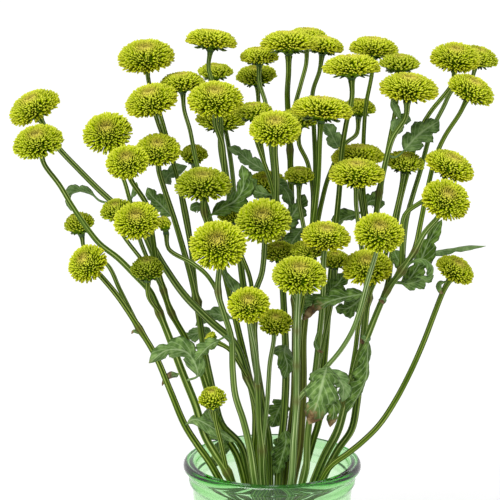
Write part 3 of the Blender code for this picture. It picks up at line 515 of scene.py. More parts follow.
def settle(knots, freedom, branches):
    """Shift the knots in depth until no branch or bloom passes through another.

    Each pair of beads keeps the order that it has in the tables, and a shift slides a knot along
    its line of sight, so nothing moves as the arrangement is seen from the front.
    """
    beads = string_beads(knots, branches)
    across, up, radius, upper, lower, share, owner, is_bloom, offset, to_joint = beads.T
    upper, lower, owner = (ends.astype(int) for ends in (upper, lower, owner))
    one, two = np.triu_indices(len(beads), 1)
    apart = np.hypot(across[one] - across[two], up[one] - up[two])
    reach = radius[one] + radius[two] + ROOM
    near = (apart < NEARLY * reach) & (owner[one] != owner[two])
    one, two, apart, reach = one[near], two[near], apart[near], reach[near]
    stem_names = list(STEMS)
    stem_of = np.array([stem_names.index(branch.stem) for branch in branches])[owner]
    is_stem = np.array([branch.is_stem for branch in branches])[owner]
    to_joint = np.where(is_stem, FAR, to_joint)
    joined = (stem_of[one] == stem_of[two]) & (is_bloom[one] + is_bloom[two] == 0)
    joined &= np.minimum(to_joint[one], to_joint[two]) < JOINT_ROOM
    one, two, apart, reach = one[~joined], two[~joined], apart[~joined], reach[~joined]

    def depths(now):
        return now[upper] * (1 - share) + now[lower] * share + offset

    start = knots[:, 2].copy()
    now = start.copy()
    beads_start = depths(now)
    scale = 1 + (beads_start[one] + beads_start[two]) / 2 / -VIEWPOINT[1]
    need = reach**2 - (apart * scale)**2
    close = need > 0
    one, two, need = one[close], two[close], np.sqrt(need[close]) / SLANT
    order = np.where(beads_start[one] >= beads_start[two], 1.0, -1.0)
    count = len(knots)
    for turn in range(SETTLING_ROUNDS):
        beads_now = depths(now)
        short = need - order * (beads_now[one] - beads_now[two])
        bad = short > 0
        if not bad.any():
            break
        push, weight = np.zeros((2, count))
        for beads_moved, shove in ((one[bad], order[bad] * short[bad] / 2),
                                   (two[bad], -order[bad] * short[bad] / 2)):
            for ends, shares in ((upper, 1 - share), (lower, share)):
                push += np.bincount(ends[beads_moved], shares[beads_moved] * shove, count)
                weight += np.bincount(ends[beads_moved], shares[beads_moved], count)
        now += PUSH * freedom * np.where(weight > 0, push / np.maximum(weight, LEAST_WEIGHT), 0)
        shift = now - start
        total, uses = np.zeros((2, count))
        for branch in branches:
            chain = shift[branch.knots]
            total[branch.knots[1:-1]] += (chain[:-2] + chain[2:]) / 2
            uses[branch.knots[1:-1]] += 1
            total[branch.knots[0]] += chain[1]
            uses[branch.knots[0]] += 1
        stiffness = SMOOTHING if turn < SETTLING_ROUNDS * 0.7 else LAST_SMOOTHING
        used = uses > 0
        shift[used] += stiffness * (total[used] / uses[used] - shift[used])
        now = start + shift * (freedom > 0)
    settled = knots.copy()
    settled[:, 2] = now
    return settled


print("every stem keeps", ROOM, "mm of room around it")

# %% [markdown]
# Below the mouth, the stems run down side by side inside the vase and stand on its floor.

# %% Centre lines
FLOOR = 8.0
# Inside the vase each stem's place is that in the mouth drawn in towards the axis: at each
# height, the share of the way out that is left.
IN_THE_VASE = ((190.0, 0.72), (150.0, 0.62), (60.0, 0.62), (FLOOR + 0.6, 0.64))


def centre_lines():
    """Every branch's settled centre line in space, from its bloom's neck down to its end."""
    knots, freedom, branches = lay_out()
    knots = settle(knots, freedom, branches)
    lines = []
    for branch in branches:
        line = [seen(*knots[knot]) for knot in branch.knots]
        if branch.is_stem:
            mouth = STEMS[branch.stem].mouth
            for height, spread in IN_THE_VASE:
                line.append(np.array([mouth[0] * spread, mouth[1] * spread, height]))
        lines.append(np.array(line))
    return branches, lines


branches, lines = centre_lines()
frames = {branch.bloom: bloom_frame(branch.bloom)._replace(neck=line[0])
          for branch, line in zip(branches, lines)}
misses = []
for name, place in frames.items():
    if name in frame["nodes"]:
        low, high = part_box(name)
        middle = (np.array(low) + np.array(high)) / 2 / MM
        misses.append(np.linalg.norm(middle - place.neck - place.axis * place.height / 2))
print("the blooms lie within", round(max(misses), 2), "mm of the frame's own")

# %% [markdown]
# ## Tools for nodes and colours
# Five small helpers serve the whole lesson. One adds a node with its settings and links, one
# turns a colour as a painter writes it into the linear light that shaders want, one makes a
# material of one shader, one gives a ramp its colours, and one turns a closed shape into a mesh.

# %% Helpers
def add(tree, kind, sockets=(), **settings):
    """Add a node, set its properties, and give its inputs values or links.

    The inputs come in order, or by name or number. A node stands for its first output, and a
    list inside the list for all that run into one input.
    """
    made = tree.nodes.new(kind)
    for name, value in settings.items():
        setattr(made, name, value)
    for key, values in sockets.items() if isinstance(sockets, dict) else enumerate(sockets):
        for value in values if isinstance(values, list) else [values]:
            if isinstance(value, bpy.types.Node):
                value = value.outputs[0]
            if isinstance(value, bpy.types.NodeSocket):
                tree.links.new(value, made.inputs[key])
            else:
                made.inputs[key].default_value = value
    return made


def linear(code):
    """An sRGB colour such as #8DB021 as linear red, green, blue and alpha."""
    values = [int(code[place:place + 2], 16) / 255 for place in (1, 3, 5)]
    return (*(v / 12.92 if v <= 0.04045 else ((v + 0.055) / 1.055)**2.4 for v in values), 1.0)


def new_material(name, sockets):
    """A material of one principled shader with its sockets set: material, nodes and shader."""
    made = bpy.data.materials.new(name)
    made.use_nodes = True
    made.node_tree.nodes.clear()
    shader = add(made.node_tree, "ShaderNodeBsdfPrincipled", sockets)
    add(made.node_tree, "ShaderNodeOutputMaterial", [shader])
    return made, made.node_tree, shader


def set_ramp(ramp, stops):
    """Give a colour ramp its stops: (position, colour) pairs in rising order."""
    elements = ramp.color_ramp.elements
    while len(elements) > 1:
        elements.remove(elements[-1])
    elements[0].position, elements[0].color = stops[0][0], linear(stops[0][1])
    for position, code in stops[1:]:
        elements.new(position).color = linear(code)
    return ramp


def close_up(name, shape):
    """A closed bmesh as a smooth mesh with every face outward."""
    bmesh.ops.recalc_face_normals(shape, faces=shape.faces)
    mesh = bpy.data.meshes.new(name)
    shape.to_mesh(mesh)
    shape.free()
    mesh.shade_smooth()
    return mesh


print("a mid green is", [round(v, 3) for v in linear("#8DB021")])

# %% [markdown]
# ## Florets
# A pompon bloom is a crowd of ray florets: strap-shaped petals, each rolled into a shallow
# channel and hooked in at its tip. The ones at the rim are long and lie out flat, those in the
# middle are short and stand up. An open bloom has five to nine hundred, so one floret may only
# have a few faces: a point at the base, two sections of four corners, and a point at the tip. Eight
# kinds go from a bud in the eye of the bloom to a long floret at its rim.

# %% Petal material
# Chrysanthemum petal: soft and matt, with no gloss. The tips are pale and the bases deep green,
# partly their own green and partly painted shade between the florets.
# The buds in the eye are a sandy yellow with a brown middle, and the rim turns yellow with age.
# A Map Range takes its value, the range that it comes from and the one that it goes to.
petal, tree, shader = new_material("chrysanthemum_petal",
                                   {"Roughness": 0.7, "Specular IOR Level": 0.04})
along, rank, shade, tint = (add(tree, "ShaderNodeAttribute", attribute_name=name).outputs["Fac"]
                            for name in ("along", "rank", "shade", "tint"))
# Along the floret: the deep green base is partly painted shade between the florets; the pale tip is
# its own colour.
by_length = set_ramp(add(tree, "ShaderNodeValToRGB", [along]),
                     [(0.0, "#668A00"), (0.50, "#8CAC00"), (0.80, "#B8C800"), (0.97, "#DEE44E")])
by_rank = set_ramp(add(tree, "ShaderNodeValToRGB", [rank]),
                   [(0.0, "#665C14"), (0.012, "#9A8C38"), (0.04, "#D2C25A"), (0.18, "#D2CE48")])
# Painted shade: the eye's buds darken towards their bases, as the shade between them looks, and
# brighten a little at the tips, a painted highlight.
eye_bud_gap_shade = add(tree, "ShaderNodeMapRange", [along, 0.62, 0.97, 0.45, 1.15])
eye_with_gap_shade = add(tree, "ShaderNodeHueSaturation", {"Color": by_rank, "Value": eye_bud_gap_shade})
in_the_eye = add(tree, "ShaderNodeMapRange", [rank, 0.11, 0.30, 0.8, 0.0])
mixed = add(tree, "ShaderNodeMix", {0: in_the_eye, 6: by_length, 7: eye_with_gap_shade}, data_type="RGBA")
yellowed = add(tree, "ShaderNodeMapRange", [rank, 0.55, 1.0, 0.0, 0.35])
older = add(tree, "ShaderNodeMath", [yellowed, tint], operation="MULTIPLY")
ripe = add(tree, "ShaderNodeMix", {0: older, 6: mixed.outputs[2], 7: linear("#C8B400")},
           data_type="RGBA")
vary = add(tree, "ShaderNodeMapRange", [shade, 0.0, 1.0, 0.82, 1.14])
darkened = add(tree, "ShaderNodeMapRange", [tint, -1.0, 0.0, 0.52, 1.0])
greener = add(tree, "ShaderNodeMapRange", [tint, -1.0, 0.0, 0.515, 0.5])
depth = add(tree, "ShaderNodeMath", [vary, darkened], operation="MULTIPLY")
varied = add(tree, "ShaderNodeHueSaturation",
             {"Color": ripe.outputs[2], "Value": depth, "Hue": greener})
tree.links.new(varied.outputs[0], shader.inputs["Base Color"])
print(petal.name, "has", len(tree.nodes), "nodes")

# %% Bract material
# Chrysanthemum bract: a leathery grey green that gets paler towards its papery tip.
bract_skin, tree, shader = new_material("chrysanthemum_bract",
                                        {"Roughness": 0.65, "Specular IOR Level": 0.3})
along = add(tree, "ShaderNodeAttribute", attribute_name="along").outputs["Fac"]
by_length = set_ramp(add(tree, "ShaderNodeValToRGB", [along]),
                     [(0.0, "#3F5A2C"), (0.6, "#5C7A3C"), (1.0, "#9AA868")])
tree.links.new(by_length.outputs[0], shader.inputs["Base Color"])
print(bract_skin.name, "has", len(tree.nodes), "nodes")

# %% [markdown]
# A floret's mesh is drawn once, one unit long and one unit wide, standing on its base with its
# inner face towards -Y. A number on each vertex goes with it into the bloom: how far along the
# petal it lies, which sets its colour. A bract is the same closed shape, pointed and flatter.

# %% The kinds of floret
FLORET_KINDS = 8
# A floret's sections: how far along it each lies, and half its width there. The outer kinds
# narrow more towards the tip.
FLORET_SECTIONS = ((0.62, 0.42, 0.0), (0.93, 0.44, 0.16))
BRACT_SECTIONS = ((0.15, 0.45), (0.50, 0.50), (0.82, 0.28))
# How far the tip hooks in and how deep the channel is: in the eye, and how much less at the rim.
HOOK = (1.2, 0.8)
CHANNEL = (0.5, 0.2)
THICKNESS = 0.26


def petal_mesh(name, sections, hook, cup, thickness):
    """A closed petal that hooks towards -Y at its tip, with a channel in its face."""
    places = [(0, 0, 0)]
    for share, half in sections:
        y = -hook * share**2.5
        places += [(-half, y - cup * half, share), (0, y + 0.10, share),
                   (half, y - cup * half, share), (0, y + 0.10 + thickness, share)]
    places.append((0, 0.05 - hook, 0.995))
    faces = [(0, 1 + k, 1 + (k + 1) % 4) for k in range(4)]
    for first in range(1, 4 * len(sections) - 3, 4):
        faces += [(first + k, first + k + 4, first + (k + 1) % 4 + 4, first + (k + 1) % 4)
                  for k in range(4)]
    last = len(places) - 1
    faces += [(last, last - 4 + (k + 1) % 4, last - 4 + k) for k in range(4)]
    shape = bmesh.new()
    verts = [shape.verts.new(place) for place in places]
    for face in faces:
        shape.faces.new([verts[corner] for corner in face])
    mesh = close_up(name, shape)
    lengths = mesh.attributes.new("along", "FLOAT", "POINT")
    lengths.data.foreach_set("value", [z for x, y, z in places])
    return mesh


floret_kinds = bpy.data.collections.new("florets")
for kind in range(FLORET_KINDS):
    outward = kind / (FLORET_KINDS - 1)
    sections = [(share, half - slimmer * outward) for share, half, slimmer in FLORET_SECTIONS]
    mesh = petal_mesh(f"floret_{kind}", sections, HOOK[0] - HOOK[1] * outward,
                      CHANNEL[0] - CHANNEL[1] * outward, THICKNESS)
    floret_kinds.objects.link(bpy.data.objects.new(mesh.name, mesh))
bract = bpy.data.objects.new("bract", petal_mesh("bract", BRACT_SECTIONS, 0.1, 0.35, 0.12))

# %% [markdown]
# ## A bloom that follows a rule
# Florets grow one after another, each a golden angle (137.5 degrees) round from the last, which
# packs them as evenly as a sunflower packs its seeds. So a bloom is a short rule and not hundreds
# of placements: a line of points, one rotation for each, and a petal on every point.
# Geometry Nodes do just that, with the bloom's sizes as named inputs.

# %% The bloom tree
GOLDEN_ANGLE = math.radians(137.508)
# The florets fan out from a middle at this share of the height, and reach this much above it.
MIDDLE = 0.44
ABOVE = 0.56
# Where a floret starts, and how large the cushion is, as shares of the way out.
ROOT = 0.45
CORE = 0.60
# The cup's size and the bracts' length, as shares of the bloom's width and height.
CUP_WIDTH = 0.15
CUP_HEIGHT = 0.30
BRACT_LENGTH = 0.21
# Share of the florets, and of the way from the eye's middle to the rim. The eye holds many.
SPACING = ((0.0, 0.0), (0.03, 0.07), (0.13, 0.18), (0.38, 0.41), (0.70, 0.71), (1.0, 1.0))
# Share of the florets, and how far they reach: the eye is a shallow dimple.
REACHES = ((0.0, 0.83), (0.06, 0.92), (0.15, 0.98), (0.6, 0.98), (1.0, 1.02))
# Share of the florets, and their width in millimetres.
WIDTHS = ((0.0, 1.0), (0.12, 1.25), (0.28, 1.5), (0.7, 1.9), (1.0, 2.3))
WIDEST = 5.0
# Chance turns a floret by up to this angle, leaves it as short as this, and makes it this wide.
WANDER = 0.10
SHORTEST = 0.92
FULLNESS = (0.88, 1.12)


def set_curve(curve, stops, high=1.0):
    """Give a float curve its stops, with heights as shares of high."""
    points = curve.mapping.curves[0].points
    points[0].location = (stops[0][0], stops[0][1] / high)
    points[1].location = (stops[-1][0], stops[-1][1] / high)
    for place, height in stops[1:-1]:
        points.new(place, height / high)
    curve.mapping.update()
    return curve


def new_tree(name, inputs, takes_geometry=False):
    """A Geometry Nodes tree with its named inputs: (name, socket kind, value)."""
    tree = bpy.data.node_groups.new(name, "GeometryNodeTree")
    if takes_geometry:
        tree.interface.new_socket("Geometry", in_out="INPUT", socket_type="NodeSocketGeometry")
    for label, kind, value in inputs:
        socket = tree.interface.new_socket(label, in_out="INPUT", socket_type="NodeSocket" + kind)
        socket.default_value = value
    tree.interface.new_socket("Geometry", in_out="OUTPUT", socket_type="NodeSocketGeometry")
    return tree, add(tree, "NodeGroupInput").outputs


bloom_tree, given = new_tree("pompon bloom", [
    ("Width", "Float", 40.0), ("Height", "Float", 17.0), ("Florets", "Int", 760),
    ("Spread", "Float", math.radians(106)), ("Openness", "Float", 1.0),
    ("Tint", "Float", 0.5), ("Seed", "Int", 1),
])
tree = bloom_tree
half_width, half_height, middle_height, cup_width, cup_height, bract_length = (
    add(tree, "ShaderNodeMath", [given[size], share], operation="MULTIPLY")
    for size, share in (("Width", 0.5), ("Height", ABOVE), ("Height", MIDDLE),
                        ("Width", CUP_WIDTH), ("Height", CUP_HEIGHT), ("Width", BRACT_LENGTH))
)
dome = add(tree, "ShaderNodeCombineXYZ", [half_width, half_width, half_height])
middle = add(tree, "ShaderNodeCombineXYZ", {"Z": middle_height})
print("a bloom reaches from its middle to half its width and", ABOVE, "of its height")

# %% [markdown]
# First the places: each floret's turn about the axis and its lean away from it, then the point
# on the dome that it aims at, and its root part of the way there.

# %% Where the florets stand
points = add(tree, "GeometryNodeMeshLine", {"Count": given["Florets"]})
index = add(tree, "GeometryNodeInputIndex")
share = add(tree, "ShaderNodeMath", [index, given["Florets"]], operation="DIVIDE")
spacing = set_curve(add(tree, "ShaderNodeFloatCurve", {"Value": share}), SPACING)
lean_out = add(tree, "ShaderNodeMath", [spacing, given["Spread"]], operation="MULTIPLY")
lean_back = add(tree, "ShaderNodeMath", [lean_out, -1.0], operation="MULTIPLY")
wander = add(tree, "FunctionNodeRandomValue", {"Seed": given["Seed"], 2: -WANDER, 3: WANDER})
turn = add(tree, "ShaderNodeMath", [index, GOLDEN_ANGLE, wander.outputs[1]],
           operation="MULTIPLY_ADD")
way = add(tree, "ShaderNodeCombineXYZ", {"X": lean_back, "Z": turn})
out = add(tree, "ShaderNodeVectorRotate", {"Vector": (0, 0, 1), "Rotation": way},
          rotation_type="EULER_XYZ")
aim = add(tree, "ShaderNodeVectorMath", [out, dome], operation="MULTIPLY")
root = add(tree, "ShaderNodeVectorMath", [aim, (ROOT,) * 3, middle], operation="MULTIPLY_ADD")
placed = add(tree, "GeometryNodeSetPosition", {"Geometry": points, "Position": root})
print("the florets' roots lie", ROOT, "of the way out")

# %% [markdown]
# Then the way each one faces: turned about the axis, tipped along its aim, and a little unruly.

# %% How the florets face
# How far chance tips and turns a floret about its own X, Y and Z.
UNRULY = (0.07, 0.06, 0.25)
flat_turn = add(tree, "ShaderNodeCombineXYZ", {"Z": turn})
turned = add(tree, "FunctionNodeEulerToRotation", [flat_turn])
aimed = add(tree, "FunctionNodeAlignRotationToVector", {"Rotation": turned, "Vector": aim},
            axis="Z", pivot_axis="X")
unruly = add(tree, "FunctionNodeRandomValue", {
    "Seed": given["Seed"], 0: tuple(-angle for angle in UNRULY), 1: UNRULY,
}, data_type="FLOAT_VECTOR")
unruly_turn = add(tree, "FunctionNodeEulerToRotation", [unruly])
facing = add(tree, "FunctionNodeRotateRotation", {"Rotation": aimed, "Rotate By": unruly_turn},
             rotation_space="LOCAL")
print("a floret strays by up to", round(math.degrees(UNRULY[0])), "degrees")

# %% [markdown]
# Last the sizes: long enough to reach the dome, narrow in the eye and wider towards the rim.

# %% How large the florets grow
length = add(tree, "ShaderNodeVectorMath", [aim], operation="LENGTH")
reach = set_curve(add(tree, "ShaderNodeFloatCurve", {"Value": share}), REACHES)
uneven = add(tree, "FunctionNodeRandomValue", {"Seed": given["Seed"], 2: SHORTEST, 3: 1.0})
reached = add(tree, "ShaderNodeMath", [reach, uneven.outputs[1]], operation="MULTIPLY")
free = add(tree, "ShaderNodeMath", [reached, ROOT], operation="SUBTRACT")
tall = add(tree, "ShaderNodeMath", [length.outputs["Value"], free], operation="MULTIPLY")
widths = set_curve(add(tree, "ShaderNodeFloatCurve", {"Value": share}), WIDTHS, WIDEST)
fuller = add(tree, "FunctionNodeRandomValue", {"Seed": given["Seed"], 2: FULLNESS[0] * WIDEST,
                                               3: FULLNESS[1] * WIDEST})
wide = add(tree, "ShaderNodeMath", [widths, fuller.outputs[1]], operation="MULTIPLY")
size = add(tree, "ShaderNodeCombineXYZ", [wide, wide, tall])
print("florets are", WIDTHS[0][1], "to", WIDTHS[-1][1], "mm wide")

# %% [markdown]
# A petal now goes on every point, of the kind that its rank calls for, and the instances become
# real faces. Each keeps its rank and a chance number, which the material reads.

# %% Set the florets
opened = add(tree, "ShaderNodeMath", [share, given["Openness"]], operation="MULTIPLY")
kind_of = add(tree, "ShaderNodeMath", [opened, FLORET_KINDS - 0.01], operation="MULTIPLY")
kind = add(tree, "FunctionNodeFloatToInt", [kind_of], rounding_mode="FLOOR")
kinds = add(tree, "GeometryNodeCollectionInfo",
            {"Collection": floret_kinds, "Separate Children": True})
chance = add(tree, "FunctionNodeRandomValue", {"Seed": given["Seed"]})
marked = placed
for name, value in (("rank", share), ("shade", chance.outputs[1])):
    marked = add(tree, "GeometryNodeStoreNamedAttribute",
                 {"Geometry": marked, "Name": name, "Value": value})
grown = add(tree, "GeometryNodeInstanceOnPoints", {
    "Points": marked, "Instance": kinds, "Pick Instance": True, "Instance Index": kind,
    "Rotation": facing, "Scale": size,
})
crown = add(tree, "GeometryNodeRealizeInstances", [grown])
print(FLORET_KINDS, "kinds share out the florets")

# %% [markdown]
# The florets grow on a green cushion, which closes the gaps between them to the light, and a
# cup of bracts holds them from below. The cup widens from the stem, and its bracts lie against
# the undersides of the lowest florets.

# %% The cushion and the cup
BRACTS = 26
BRACT_WIDTH = 2.8
# The two rows of bracts lean this far back from the axis.
BRACT_LEANS = (-1.62, -1.80)
CUP_FOOT = 2.4
core_size = add(tree, "ShaderNodeVectorMath", {0: dome, "Scale": CORE}, operation="SCALE")
ball = add(tree, "GeometryNodeMeshUVSphere", {"Segments": 20, "Rings": 10, "Radius": 1.0})
cushion = add(tree, "GeometryNodeTransform", {"Geometry": ball, "Translation": middle,
                                              "Scale": core_size})
# The cushion has no along, so it takes the florets' deep base green, the colour of the gaps: partly
# painted shade.
low_rank = add(tree, "GeometryNodeStoreNamedAttribute", {"Geometry": cushion, "Name": "rank",
                                                         "Value": 0.5})
petals = add(tree, "GeometryNodeJoinGeometry", [[crown, low_rank]])
tinted = add(tree, "GeometryNodeStoreNamedAttribute", {"Geometry": petals, "Name": "tint",
                                                       "Value": given["Tint"]})
coloured = add(tree, "GeometryNodeSetMaterial", {"Geometry": tinted, "Material": petal})

cup = add(tree, "GeometryNodeMeshCone", {"Vertices": 20, "Radius Bottom": CUP_FOOT,
                                         "Radius Top": cup_width, "Depth": cup_height})
around = add(tree, "ShaderNodeMath", [index, math.tau / BRACTS * 1.5], operation="MULTIPLY")
row = add(tree, "ShaderNodeMath", [index, 2.0], operation="MODULO")
droop = add(tree, "ShaderNodeMapRange", [row, 0.0, 1.0, *BRACT_LEANS])
bract_way = add(tree, "ShaderNodeCombineXYZ", {"X": droop, "Z": around})
bract_out = add(tree, "ShaderNodeVectorRotate", {"Vector": (0, 0, 1), "Rotation": bract_way},
                rotation_type="EULER_XYZ")
bract_step = add(tree, "ShaderNodeMath", [cup_width, 0.8], operation="MULTIPLY")
bract_lift = add(tree, "ShaderNodeCombineXYZ", {"Z": cup_height})
bract_foot = add(tree, "ShaderNodeVectorMath", {0: bract_out, "Scale": bract_step},
                 operation="SCALE")
bract_place = add(tree, "ShaderNodeVectorMath", [bract_foot, bract_lift], operation="ADD")
ring = add(tree, "GeometryNodeMeshLine", {"Count": BRACTS})
bract_points = add(tree, "GeometryNodeSetPosition", {"Geometry": ring, "Position": bract_place})
bract_turn = add(tree, "FunctionNodeEulerToRotation", [bract_way])
bract_kind = add(tree, "GeometryNodeObjectInfo", {"Object": bract})
bract_size = add(tree, "ShaderNodeCombineXYZ", [BRACT_WIDTH, BRACT_WIDTH, bract_length])
bracts = add(tree, "GeometryNodeInstanceOnPoints", {
    "Points": bract_points, "Instance": bract_kind.outputs["Geometry"],
    "Rotation": bract_turn, "Scale": bract_size,
})
real_bracts = add(tree, "GeometryNodeRealizeInstances", [bracts])
below = add(tree, "GeometryNodeJoinGeometry", [[cup, real_bracts]])
smooth_below = add(tree, "GeometryNodeSetShadeSmooth", [below])
green_below = add(tree, "GeometryNodeSetMaterial",
                  {"Geometry": smooth_below, "Material": bract_skin})
whole = add(tree, "GeometryNodeJoinGeometry", [[coloured, green_below]])
add(tree, "NodeGroupOutput", [whole])
print("the bloom tree has", len(tree.nodes), "nodes")

# %% [markdown]
# Each bloom is grown by the tree and then kept as a plain mesh in its own place. An open bloom
# takes the place of its solid in the frame; the young ones and the small ones that are part of
# a stem's solid there are pieces of their own.

# %% Grow the blooms
# A bloom of the usual width has this many florets, and a wider one has more.
USUAL_WIDTH = 42.0
CROWDING = 1.3
# The florets, the degrees from the eye to the rim, the openness, and the share of the tint.
Habit = namedtuple("Habit", "florets spread openness tint")
HABITS = {"bloom": Habit(760, 106, 1.0, 1.0), "young": Habit(560, 98, 0.4, -0.4)}
# How dark green or how yellowed some blooms are, from -1 for dark green to 1 for yellowing; the
# others lie in between.
TINTS = {"bloom_38": -0.5, "bloom_46": -0.25, "bloom_50": -0.1, "bloom_02": -0.1,
         "young_43": -1.0, "young_58": -0.3}


def grow(name, tree, settings, start=None):
    """Run a tree with its inputs set and return what it makes as a plain mesh."""
    holder = bpy.data.objects.new("holder", start or bpy.data.meshes.new("nothing"))
    bpy.context.scene.collection.objects.link(holder)
    growth = holder.modifiers.new("growth", "NODES")
    growth.node_group = tree
    for socket in tree.interface.items_tree:
        if socket.in_out == "INPUT" and socket.name in settings:
            growth[socket.identifier] = settings[socket.name]
    graph = bpy.context.evaluated_depsgraph_get()
    mesh = bpy.data.meshes.new_from_object(holder.evaluated_get(graph), depsgraph=graph)
    holder.modifiers.remove(growth)
    bpy.data.objects.remove(holder)
    mesh.name = name
    return mesh


def put(mesh, slot, *nodes):
    """Make a finished mesh a piece of the object, in place of the frame's nodes."""
    piece = bpy.data.objects.new(mesh.name, mesh)
    bpy.context.scene.collection.objects.link(piece)
    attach(piece, "root")
    if nodes:
        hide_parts(*nodes)


def triangles_in(mesh):
    """How many triangles a mesh has once its faces are split."""
    return sum(len(face.vertices) - 2 for face in mesh.polygons)


def stand(place):
    """The matrix that sets a bloom drawn in millimetres on its neck, along its axis, in metres."""
    turned = Vector(place.axis).to_track_quat("Z", "Y").to_matrix().to_4x4()
    return Matrix.Scale(MM, 4) @ Matrix.Translation(Vector(place.neck)) @ turned


triangles = 0
chance = np.random.default_rng(5)
for number, (name, place) in enumerate(frames.items()):
    habit = HABITS[name[:5]]
    florets = habit.florets * (place.width / USUAL_WIDTH)**CROWDING
    tint = float(chance.uniform(0.2, 1.0)) * habit.tint
    mesh = grow(name + "_florets", bloom_tree, {
        "Width": float(place.width), "Height": float(place.height), "Florets": int(florets),
        "Spread": math.radians(habit.spread), "Openness": habit.openness,
        "Tint": TINTS.get(name, tint), "Seed": number,
    })
    mesh.transform(stand(place))
    put(mesh, "floret", *([name] if name in frame["nodes"] else []))
    triangles += triangles_in(mesh)
print(len(frames), "blooms,", triangles, "triangles")

# %% [markdown]
# ## Stems
# A chrysanthemum stem is not a plain tube: six ribs run down it, it swells at every
# joint where a leaf or a shoot grows, and its skin is a matt green with paler ribs. Its path is
# a curve, so Geometry Nodes sweep a star-shaped section along it.

# %% Stem material
# Chrysanthemum stem: a soft woody green, matt. Its ribs are paler and its grooves darker: partly
# the ribs' own paler green, partly a painted highlight on the ridges and painted shade in the
# grooves. Long pale streaks follow the stem, so they read the sweep's own attributes and not the
# place.
stem_skin, tree, shader = new_material("chrysanthemum_stem",
                                       {"Roughness": 0.6, "Specular IOR Level": 0.1})
along, rib, tone, old = (add(tree, "ShaderNodeAttribute", attribute_name=name).outputs["Fac"]
                         for name in ("along", "rib", "tone", "old"))
around = add(tree, "ShaderNodeAttribute", attribute_name="around").outputs["Vector"]
slow = add(tree, "ShaderNodeMath", [along, 0.012], operation="MULTIPLY")
drawn_out = add(tree, "ShaderNodeMapping", {"Vector": around, "Scale": (2.2, 2.2, 1.0)})
moved = add(tree, "ShaderNodeCombineXYZ", {"Z": slow})
long_way = add(tree, "ShaderNodeVectorMath", [drawn_out, moved], operation="ADD")
streaks = add(tree, "ShaderNodeTexNoise", {"Vector": long_way, "Scale": 1.6, "Detail": 4.0})
# Painted highlight and shade: the ribs are made paler and the grooves between them darker, partly
# the ribs' own paler green.
pale_ribs_and_highlight = add(tree, "ShaderNodeMapRange", [rib, 0.45, 1.0, 0.0, 0.34])
ribs_lit_and_streaked = add(tree, "ShaderNodeMath", [pale_ribs_and_highlight, streaks], operation="ADD")
fresh = set_ramp(add(tree, "ShaderNodeValToRGB", [ribs_lit_and_streaked]),
                 [(0.36, "#1A2C00"), (0.54, "#3E5806"), (0.72, "#6A841C"), (0.90, "#A6B45E")])
pale_grey_ramp = set_ramp(add(tree, "ShaderNodeValToRGB", [ribs_lit_and_streaked]),
                [(0.34, "#34501A"), (0.54, "#587434"), (0.72, "#889E60"), (0.90, "#BECB9C")])
toned = add(tree, "ShaderNodeMix", {0: tone, 6: fresh, 7: pale_grey_ramp}, data_type="RGBA")
woody = add(tree, "ShaderNodeMix", {0: old, 6: toned.outputs[2], 7: linear("#5A4B28")},
            data_type="RGBA")
tree.links.new(woody.outputs[2], shader.inputs["Base Color"])
print(stem_skin.name, "has", len(tree.nodes), "nodes")

# %% The stem tree
stem_tree, given = new_tree("ribbed stem", [("Ribs", "Int", 6), ("Rib depth", "Float", 0.12)],
                            takes_geometry=True)
tree = stem_tree
path = add(tree, "GeometryNodeMeshToCurve", {0: given["Geometry"]})
girth = add(tree, "GeometryNodeInputNamedAttribute", {"Name": "girth"})
measure = add(tree, "GeometryNodeSplineParameter")
measured = add(tree, "GeometryNodeStoreNamedAttribute", {
    "Geometry": path, "Name": "along", "Value": measure.outputs["Length"],
})
groove = add(tree, "ShaderNodeMath", [1.0, given["Rib depth"]], operation="SUBTRACT")
section = add(tree, "GeometryNodeCurveStar", {"Points": given["Ribs"], "Outer Radius": 1.0,
                                              "Inner Radius": groove})
ribbed = add(tree, "GeometryNodeStoreNamedAttribute", {
    "Geometry": section, "Name": "rib", "Value": section.outputs["Outer Points"],
})
corner = add(tree, "GeometryNodeInputPosition")
marked = add(tree, "GeometryNodeStoreNamedAttribute", {
    "Geometry": ribbed, "Name": "around", "Value": corner,
}, data_type="FLOAT_VECTOR")
swept = add(tree, "GeometryNodeCurveToMesh", {"Curve": measured, "Profile Curve": marked,
                                              "Scale": girth, "Fill Caps": True})
soft = add(tree, "GeometryNodeSetShadeSmooth", [swept])
real = add(tree, "GeometryNodeRealizeInstances", [soft])
clothed = add(tree, "GeometryNodeSetMaterial", {"Geometry": real, "Material": stem_skin})
add(tree, "NodeGroupOutput", [clothed])
print("the stem tree has", len(tree.nodes), "nodes")

# %% [markdown]
# The path of a stem is its settled centre line, drawn as a finer smooth curve. Its girth grows
# slowly below the bloom, flares into the cup right under it, and swells at each joint. The
# joints are also where the skin turns woody, and some stems are paler and greyer than others.

# %% Grow the stems
STEP = 4.0
SLIMNESS = 0.90
SWELLING = 0.34
SWELLING_LENGTH = 4.5
FLARE = 1.45
FLARE_LENGTH = 3.0
# The taper eases in by this power of the way down it.
EASE = 1.5
# How old wood shows: at a joint, how far around it, and where it starts down an old stem.
JOINT_AGE = 0.55
JOINT_AGE_LENGTH = 3.5
OLD_FROM = 0.6
OLD_LENGTH = 150.0
# How pale and grey some branches are, how pale and grey the others are at most, and how woody
# some grow.
PALEST_OTHERS = 0.35
PALE_GREY_BRANCHES = {"bloom_50": 1.0, "bloom_49": 0.9, "bloom_56": 0.8, "young_57": 0.7, "bloom_48": 0.45,
        "bloom_34": 0.35, "bloom_45": 0.5, "bloom_46": 0.4}
WOODY = {"bloom_26": 0.5, "bloom_12": 0.3}
joints = {name: [line[-1] for branch, line in zip(branches, lines)
                 if branch.stem == name and not branch.is_stem] for name in STEMS}


def fine_line(line):
    """A branch's centre line as short steps of a smooth curve."""
    places, _ = smooth(line, STEP, 3)
    return places


